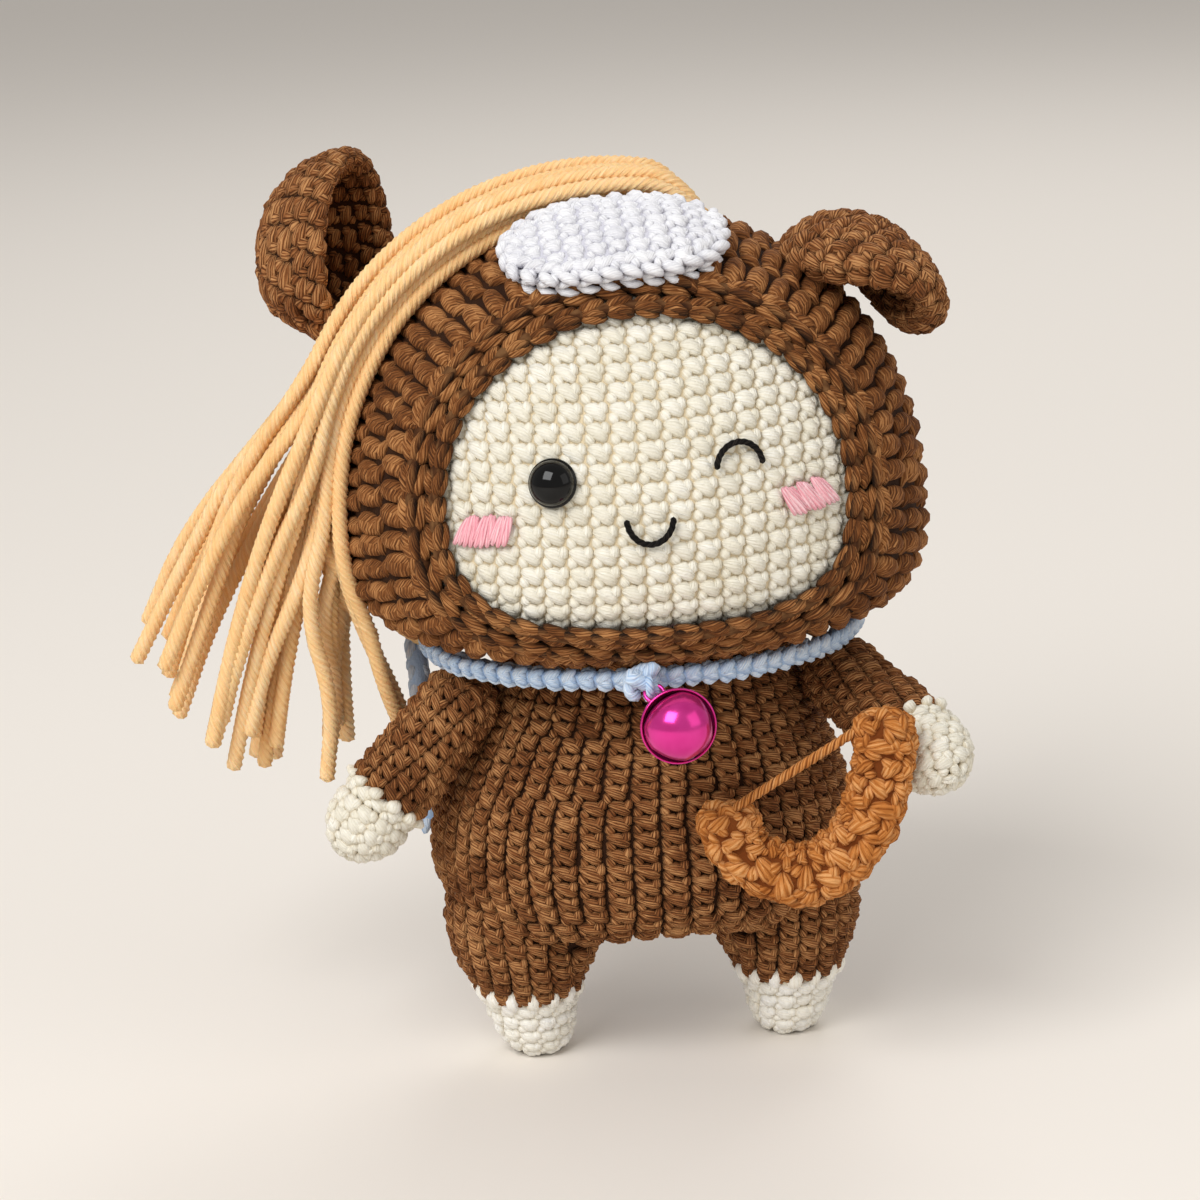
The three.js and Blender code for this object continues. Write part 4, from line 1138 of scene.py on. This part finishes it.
def strand_line(lane, layer, share, crossing=0.0, short=0.0):
    """The way of one strand: out of the hood at the crown, over its side, and down to its own end."""
    leave = 186 - 36 * share
    spread = chance.gauss(0, 0.4)
    points = []
    for step in range(10):
        along = step / 9
        angle = math.radians(71 + (leave - 71) * along)
        swing = spread * math.sin(5 * along)
        y = 1.5 + lane * 2.5 + (layer % 2) * 1.25 - 9 * along + swing - crossing * along
        rise = min(along / 0.16, 1)
        lift = -3 + (4.4 + layer * (1.3 + 0.8 * along)) * math.sqrt(rise * (2 - rise)) + chance.gauss(0, 0.1)
        points.append(head_point(Vector((math.cos(angle), y / 52, math.sin(angle))), lift))
    fan = math.radians(-97 - 2 * min(lane, 1) - 35 * share - 4 * share ** 6 + chance.gauss(0, 3.6))
    reach = 69.5 + 9 * math.sin(math.pi * share ** 1.3) - abs(chance.gauss(0, 4.5)) - short
    deep = lane * 3.0 - 1 + 0.6 * (1 - share) ** 8 + chance.gauss(0, 0.8)
    end = Vector((-36 + reach * math.cos(fan), deep, mane_z + reach * math.sin(fan)))
    sway = Vector((chance.gauss(0, 1.2), chance.gauss(0, 1.0), 0))
    drape = Vector((-1.5, 0, 3)) * share
    points += [points[-1].lerp(end, 0.35) + sway + drape, points[-1].lerp(end, 0.7) - sway * 0.5 + drape, end]
    return rounded(points)


chance.seed(7)  # the mane's own draws; of eight seeds, this one touches the arm least as the head turns
strands = [strand_line(number % lanes, number // lanes, number / last) for number in range(last + 1)]
strands.append(strand_line(5, layers, 0.9, 8))
strands += [strand_line(lane, 1, 0, -2, short) for lane, short in ((0.6, 19), (1.6, 17), (8.5, 16))]
for first in range(0, len(strands), 4):
    lock = new_cloth()
    for line in strands[first:first + 4]:
        tube(lock, line, 1.45, 18, 0.75, plies=6, pitch=8.0, groove=0.36, threads=1, blunt=0.7)
    nodes = [f"mane_strand_{n:02d}" for n in (first // 2 + 1, first // 2 + 2) if n <= 18]
    finish_piece(f"mane_lock_{first // 4 + 1:02d}", lock, blond_yarn, "head", nodes)

# %% [markdown]
# ## Collar
# A light-blue chain is tied round the neck with a knot at the back, and a loop at the front holds the bell.
# The two free tails hang down the back. They are cords.

# %% Collar
collar_share = 0.71


def collar_point(angle):
    """The collar's line: a level ring under the head, at a share of its width and depth."""
    wide, deep, high, power = head_sizes(1.7, True)
    level = (1 - collar_share ** power) ** (1 / power)
    return Vector((wide * collar_share * math.cos(angle), deep * collar_share * math.sin(angle),
                   head_middle.z - high * level))


collar_line = [collar_point(2 * math.pi * i / 90) for i in range(91)]
collar = new_cloth()
tube(collar, collar_line, 1.3, 10, 2.5)
for tip, width, height in ((-18, 3.5, 1.6), (50, 3.1, 1.4), (160, 2.8, 1.6)):
    sew_along(collar, chain, collar_line, lambda p: Vector((p.x, p.y, tip)).normalized(), 2.9, width, height)
finish_piece("collar_chain", collar, blue_yarn, "body", ["collar"])

# %% Knots
def knot(cloth, middle, side, out, size, thick):
    """A yarn wound round a place twice, as a tightened knot looks."""
    line = []
    for i in range(61):
        a = 4 * math.pi * i / 60
        line.append(middle + side * (size * math.sin(a * 1.5)) + side.cross(out) * (size * math.cos(a))
                    + out * (0.8 * size * math.sin(a * 0.5 + 1)))
    tube(cloth, line, thick, 12, 0.5, plies=4, pitch=4.4)


bell_pivot = Vector((-3.4, -37.987, 75.39))
front_knot = new_cloth()
eyelet_angles = [2 * math.pi * i / 24 for i in range(25)]
eyelet = [bell_pivot + Vector((0, -0.1 + 1.6 * math.sin(a), 1.6 * math.cos(a))) for a in eyelet_angles]
tube(front_knot, eyelet, 0.72, 12, 0.4, plies=3, pitch=3)
front_out = Vector((-3.4, -38, -18)).normalized()
knot(front_knot, bell_pivot + Vector((-1.0, 1.4, 0.6)), Vector((1, 0, 0)), front_out, 2.0, 1.3)
finish_piece("collar_loop", front_knot, blue_yarn, "body", ["collar_knot"])

back_angle = math.radians(156)
back_at = collar_point(back_angle)
back_out = Vector((back_at.x, back_at.y, 0)).normalized()
knot_middle = back_at + back_out * 5.3
back_knot = new_cloth()
knot(back_knot, knot_middle, Vector((0, 0, 1)).cross(back_out), back_out, 1.5, 1.1)
finish_piece("collar_back_knot_yarn", back_knot, blue_yarn, "body", ["collar_back_knot"])

# %% Tails of the collar
for name, length, aside in (("long", 36.0, -1.95), ("short", 31.0, 1.95)):
    top = Vector((knot_middle.x, knot_middle.y + aside, knot_middle.z - 3.1))
    tail_line = [top + Vector((-back_out.x * i / 12, 0, -length * i / 12)) for i in range(13)]
    tail = new_cloth()
    tube(tail, tail_line, 1.7, 10, 2.0)
    for way in (-1, 1):
        sew_along(tail, chain, tail_line, lambda p: Vector((0, way, 0)), 3.6, 3.1, 1.6)
    piece = finish_piece(f"collar_tail_{name}_chain", tail, blue_yarn, "body",
                         [f"collar_tail_{name}"])

# %% [markdown]
# ## Bell
# A small round bell of anodised sheet hangs from the collar by a wire loop. Its rear bowl ends in a
# rolled ring at the seam. The front bowl is pressed into that ring, and its edge is a little flat in
# four places, so dark slits stay open there. Both bowls are outlines spun round the bell's axis; the
# flat places are pressed into the front one afterwards.

# %% Bell
bell_down = Vector((0.5, -0.62, -0.6)).normalized()
bell_middle = bell_pivot + bell_down * 9.4 + Vector((-0.8, 0.3, 0.25))
bell_face = Vector((0.03, -0.985, 0.1)).normalized()
arc = [math.pi / 2 * i / 14 for i in range(15)]
front_bowl = bmesh.new()
outline = [(0, 5.8)] + [(5.8 * math.sin(a), 5.8 * math.cos(a)) for a in arc[1:]]
outline += [(5.45 * math.sin(a), 5.45 * math.cos(a)) for a in reversed(arc[1:])] + [(0, 5.45)]
lathe(front_bowl, outline, Vector((0, 0, 0)), Vector((0, 0, 1)), 72)
for vert in front_bowl.verts:
    angle = math.degrees(math.atan2(vert.co.y, vert.co.x))
    low = 1 - max(vert.co.z, 0) / 5.8
    for flat, half, depth in ((128, 48, 0.12), (14, 34, 0.09), (-60, 20, 0.05), (-115, 30, 0.09)):
        from_flat = abs((angle - flat + 180) % 360 - 180) / half
        if from_flat < 1:
            vert.co.xy *= 1 - depth * low ** 2 * (1 - from_flat ** 2)
face_turn = bell_face.to_track_quat("Z", "Y").to_matrix().to_4x4()
bmesh.ops.transform(front_bowl, matrix=Matrix.Translation(bell_middle) @ face_turn, verts=front_bowl.verts)
finish_piece("bell_front_bowl", front_bowl, magenta_metal, "bell", ["bell_front_shell"])

rear_bowl = bmesh.new()
outline = [(0, -5.8)] + [(5.8 * math.sin(a), -5.8 * math.cos(a)) for a in arc[1:-1]]
rolled_ring = [(6.0, -0.45), (6.24, -0.3), (6.32, 0), (6.32, 0.35), (6.2, 0.55), (6.06, 0.55), (5.96, 0.3),
               (5.92, -0.1)]
outline += rolled_ring
outline += [(5.4 * math.sin(a), -5.4 * math.cos(a)) for a in reversed(arc[1:-1])] + [(0, -5.4)]
lathe(rear_bowl, outline, bell_middle, bell_face, 56)
finish_piece("bell_rear_bowl", rear_bowl, magenta_metal, "bell", ["bell_rear_shell"])

loop = new_cloth()
bell_side = Vector((1, 0, 0))
bell_side = (bell_side - bell_down * bell_side.dot(bell_down)).normalized()
loop_middle = bell_pivot + bell_down * 1.6
wire_angles = [2 * math.pi * i / 32 for i in range(33)]
wire = [loop_middle + (bell_down * math.cos(a) + bell_side * math.sin(a)) * 1.6 for a in wire_angles]
tube(loop, wire, 0.36, 10, 0.3)
finish_piece("bell_wire_loop", loop, magenta_metal, "bell", ["bell_loop"])

# %% [markdown]
# ## Horseshoe
# The charm under the left hand is a short band of thick yarn, worked in coarse stitches and bent into
# a U. A string joins its tips, and the hand holds it by one of them.

# %% Horseshoe
tilt = math.radians(28)
turned = Matrix.Rotation(math.radians(-13), 3, "Z")
shoe_x = turned @ Vector((math.cos(tilt), 0, math.sin(tilt)))
shoe_z = turned @ Vector((0, -1, 0))
shoe_y = -shoe_x.cross(shoe_z)
grip = math.radians(-32)
radial = shoe_x * math.cos(grip) + shoe_y * math.sin(grip)
away = Vector((-math.cos(math.radians(47)), -math.sin(math.radians(47)), 0))
support = math.hypot(5.5 * away.dot(radial), 3 * away.dot(shoe_z))
held_at = arm_pivots["left"] + arm_ways["left"] * hand_reach
shoe_middle = held_at + away * (hand_radius + 0.3 + support) - radial * 15.2
shoe_bends = ((-12.2, -6.9), (-12.4, -10.6), (-11.2, -14.6), (-7.8, -17.5), (-3.5, -19.2), (0.9, -19.3),
              (5.5, -17.3), (9.5, -12.7), (11.9, -7.7), (13.3, -2.2), (13.9, 3.2), (14.2, 9.2))
shoe_path = rounded([shoe_middle + turned @ Vector((x, 0, 0)) + Vector((0, 0, z)) for x, z in shoe_bends])
path_at, path_length = measured(shoe_path)
shoe_ends = ((0, 0), (2.6, 0.2), (3.9, 1.2), (4.2, 3.0))
shoe_line = [Vector((r, 0, z)) for r, z in shoe_ends]
shoe_line += [Vector((r, 0, path_length - z)) for r, z in reversed(shoe_ends)]
shoe_line = rounded(shoe_line, 1)
shoe_at, shoe_length = measured(shoe_line)


def shoe_point(turn, distance):
    """The horseshoe's surface at a turn round it and a distance along its outline."""
    spot = shoe_at(distance)
    way = (path_at(spot.z + 1.5) - path_at(spot.z - 1.5)).normalized()
    across = shoe_z.cross(way)
    c, s = math.cos(2 * math.pi * turn), math.sin(2 * math.pi * turn)
    wide = math.copysign(abs(c) ** 0.75, c) * 5.0 * spot.x / 4.2
    thick = math.copysign(abs(s) ** 0.75, s) * 3 * spot.x / 4.2
    return path_at(spot.z) + across * wide + shoe_z * thick


coarse_kinds = [stitch_template(f"coarse_{kind}", (4.3, 3.6), [
    dict(size=(5.0, 3.0, 3.1), place=(-0.1, 0, -0.9), slant=lean, bow=0.5, dive=0.7, threads=8, twist=3),
    dict(size=(3.4, 2.3, 2.9), place=(1.15 * side, 0.95, -1.1), slant=lean + 92, bow=-0.3, dive=0.5,
         threads=6, twist=2),
    dict(size=(3.2, 2.2, 2.8), place=(-1.25 * side, -1.05, -1.2), slant=lean - 40, dive=0.5,
         threads=6, twist=2),
]) for kind, lean, side in (("right", -38, 1), ("left", 34, -1), ("level", -8, 1))]
horseshoe = new_cloth()
under_skin(horseshoe, shoe_point, 16, 40, 0.6, 0, shoe_length)
bands = rows_of(shoe_length, 3.6)
for number, (low, high) in enumerate(zip(bands, bands[1:])):
    count = max(round(2 * math.pi * shoe_at((low + high) / 2).x / 3.3), 4)
    start = 0.25 - (0.5 - number % 2 * 0.4) / count
    sew_round(horseshoe, coarse_kinds[number % 3], shoe_point, low, high, count, start, push=0.2, loose=2.2)
finish_piece("horseshoe_crochet", horseshoe, rust_yarn, "left_arm", ["horseshoe"])

string = new_cloth()
string_ends = [shoe_middle + turned @ Vector((x, -1.2, 0)) + Vector((0, 0, z))
               for x, z in ((-12.5, -7.9), (11.1, 7.1))]
string_line = [string_ends[0].lerp(string_ends[1], i / 20) for i in range(21)]
tube(string, string_line, 0.88, 14, 0.5, plies=3, pitch=4.2)
finish_piece("horseshoe_string_yarn", string, rust_yarn, "left_arm", ["horseshoe_string"])

# %% [markdown]
# ## Stuffing
# Loose fibre fills the body, the head and the limbs. It never shows, but the part has it, so each
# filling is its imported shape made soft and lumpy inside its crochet.

# %% Stuffing
stuffing_material = yarn_material("stuffing", "dcdcda", "e6e6e4", "f4f4f2", "ffffff", ridge=0.0, mottle=0.5)
for node, body in (("body_stuffing", "body"), ("head_stuffing", "head"),
                   ("right_leg_stuffing", "body"), ("left_leg_stuffing", "body"),
                   ("right_arm_stuffing", "right_arm"), ("left_arm_stuffing", "left_arm")):
    filling = new_cloth()
    filling.from_mesh(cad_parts[node].data)
    bmesh.ops.subdivide_edges(filling, edges=filling.edges, cuts=1, use_grid_fill=True)
    to_doll = to_frame.inverted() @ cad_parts[node].matrix_world
    bmesh.ops.transform(filling, matrix=to_doll, verts=filling.verts)
    for _ in range(4):
        bmesh.ops.smooth_vert(filling, verts=filling.verts, factor=0.5,
                              use_axis_x=True, use_axis_y=True, use_axis_z=True)
    for vert in filling.verts:
        vert.co -= vert.normal * (0.5 + 0.4 * noise.noise(vert.co * 0.3))
    finish_piece(f"{node}_fibre", filling, stuffing_material, body, [node])

# %% Small parts that stay as they were packed
for node, material in (("eye_washer", washer_plastic), ("bell_pellet", pellet_steel)):
    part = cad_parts[node]
    part.data.materials.clear()
    part.data.materials.append(material)
    print(node, "keeps its packed shape")
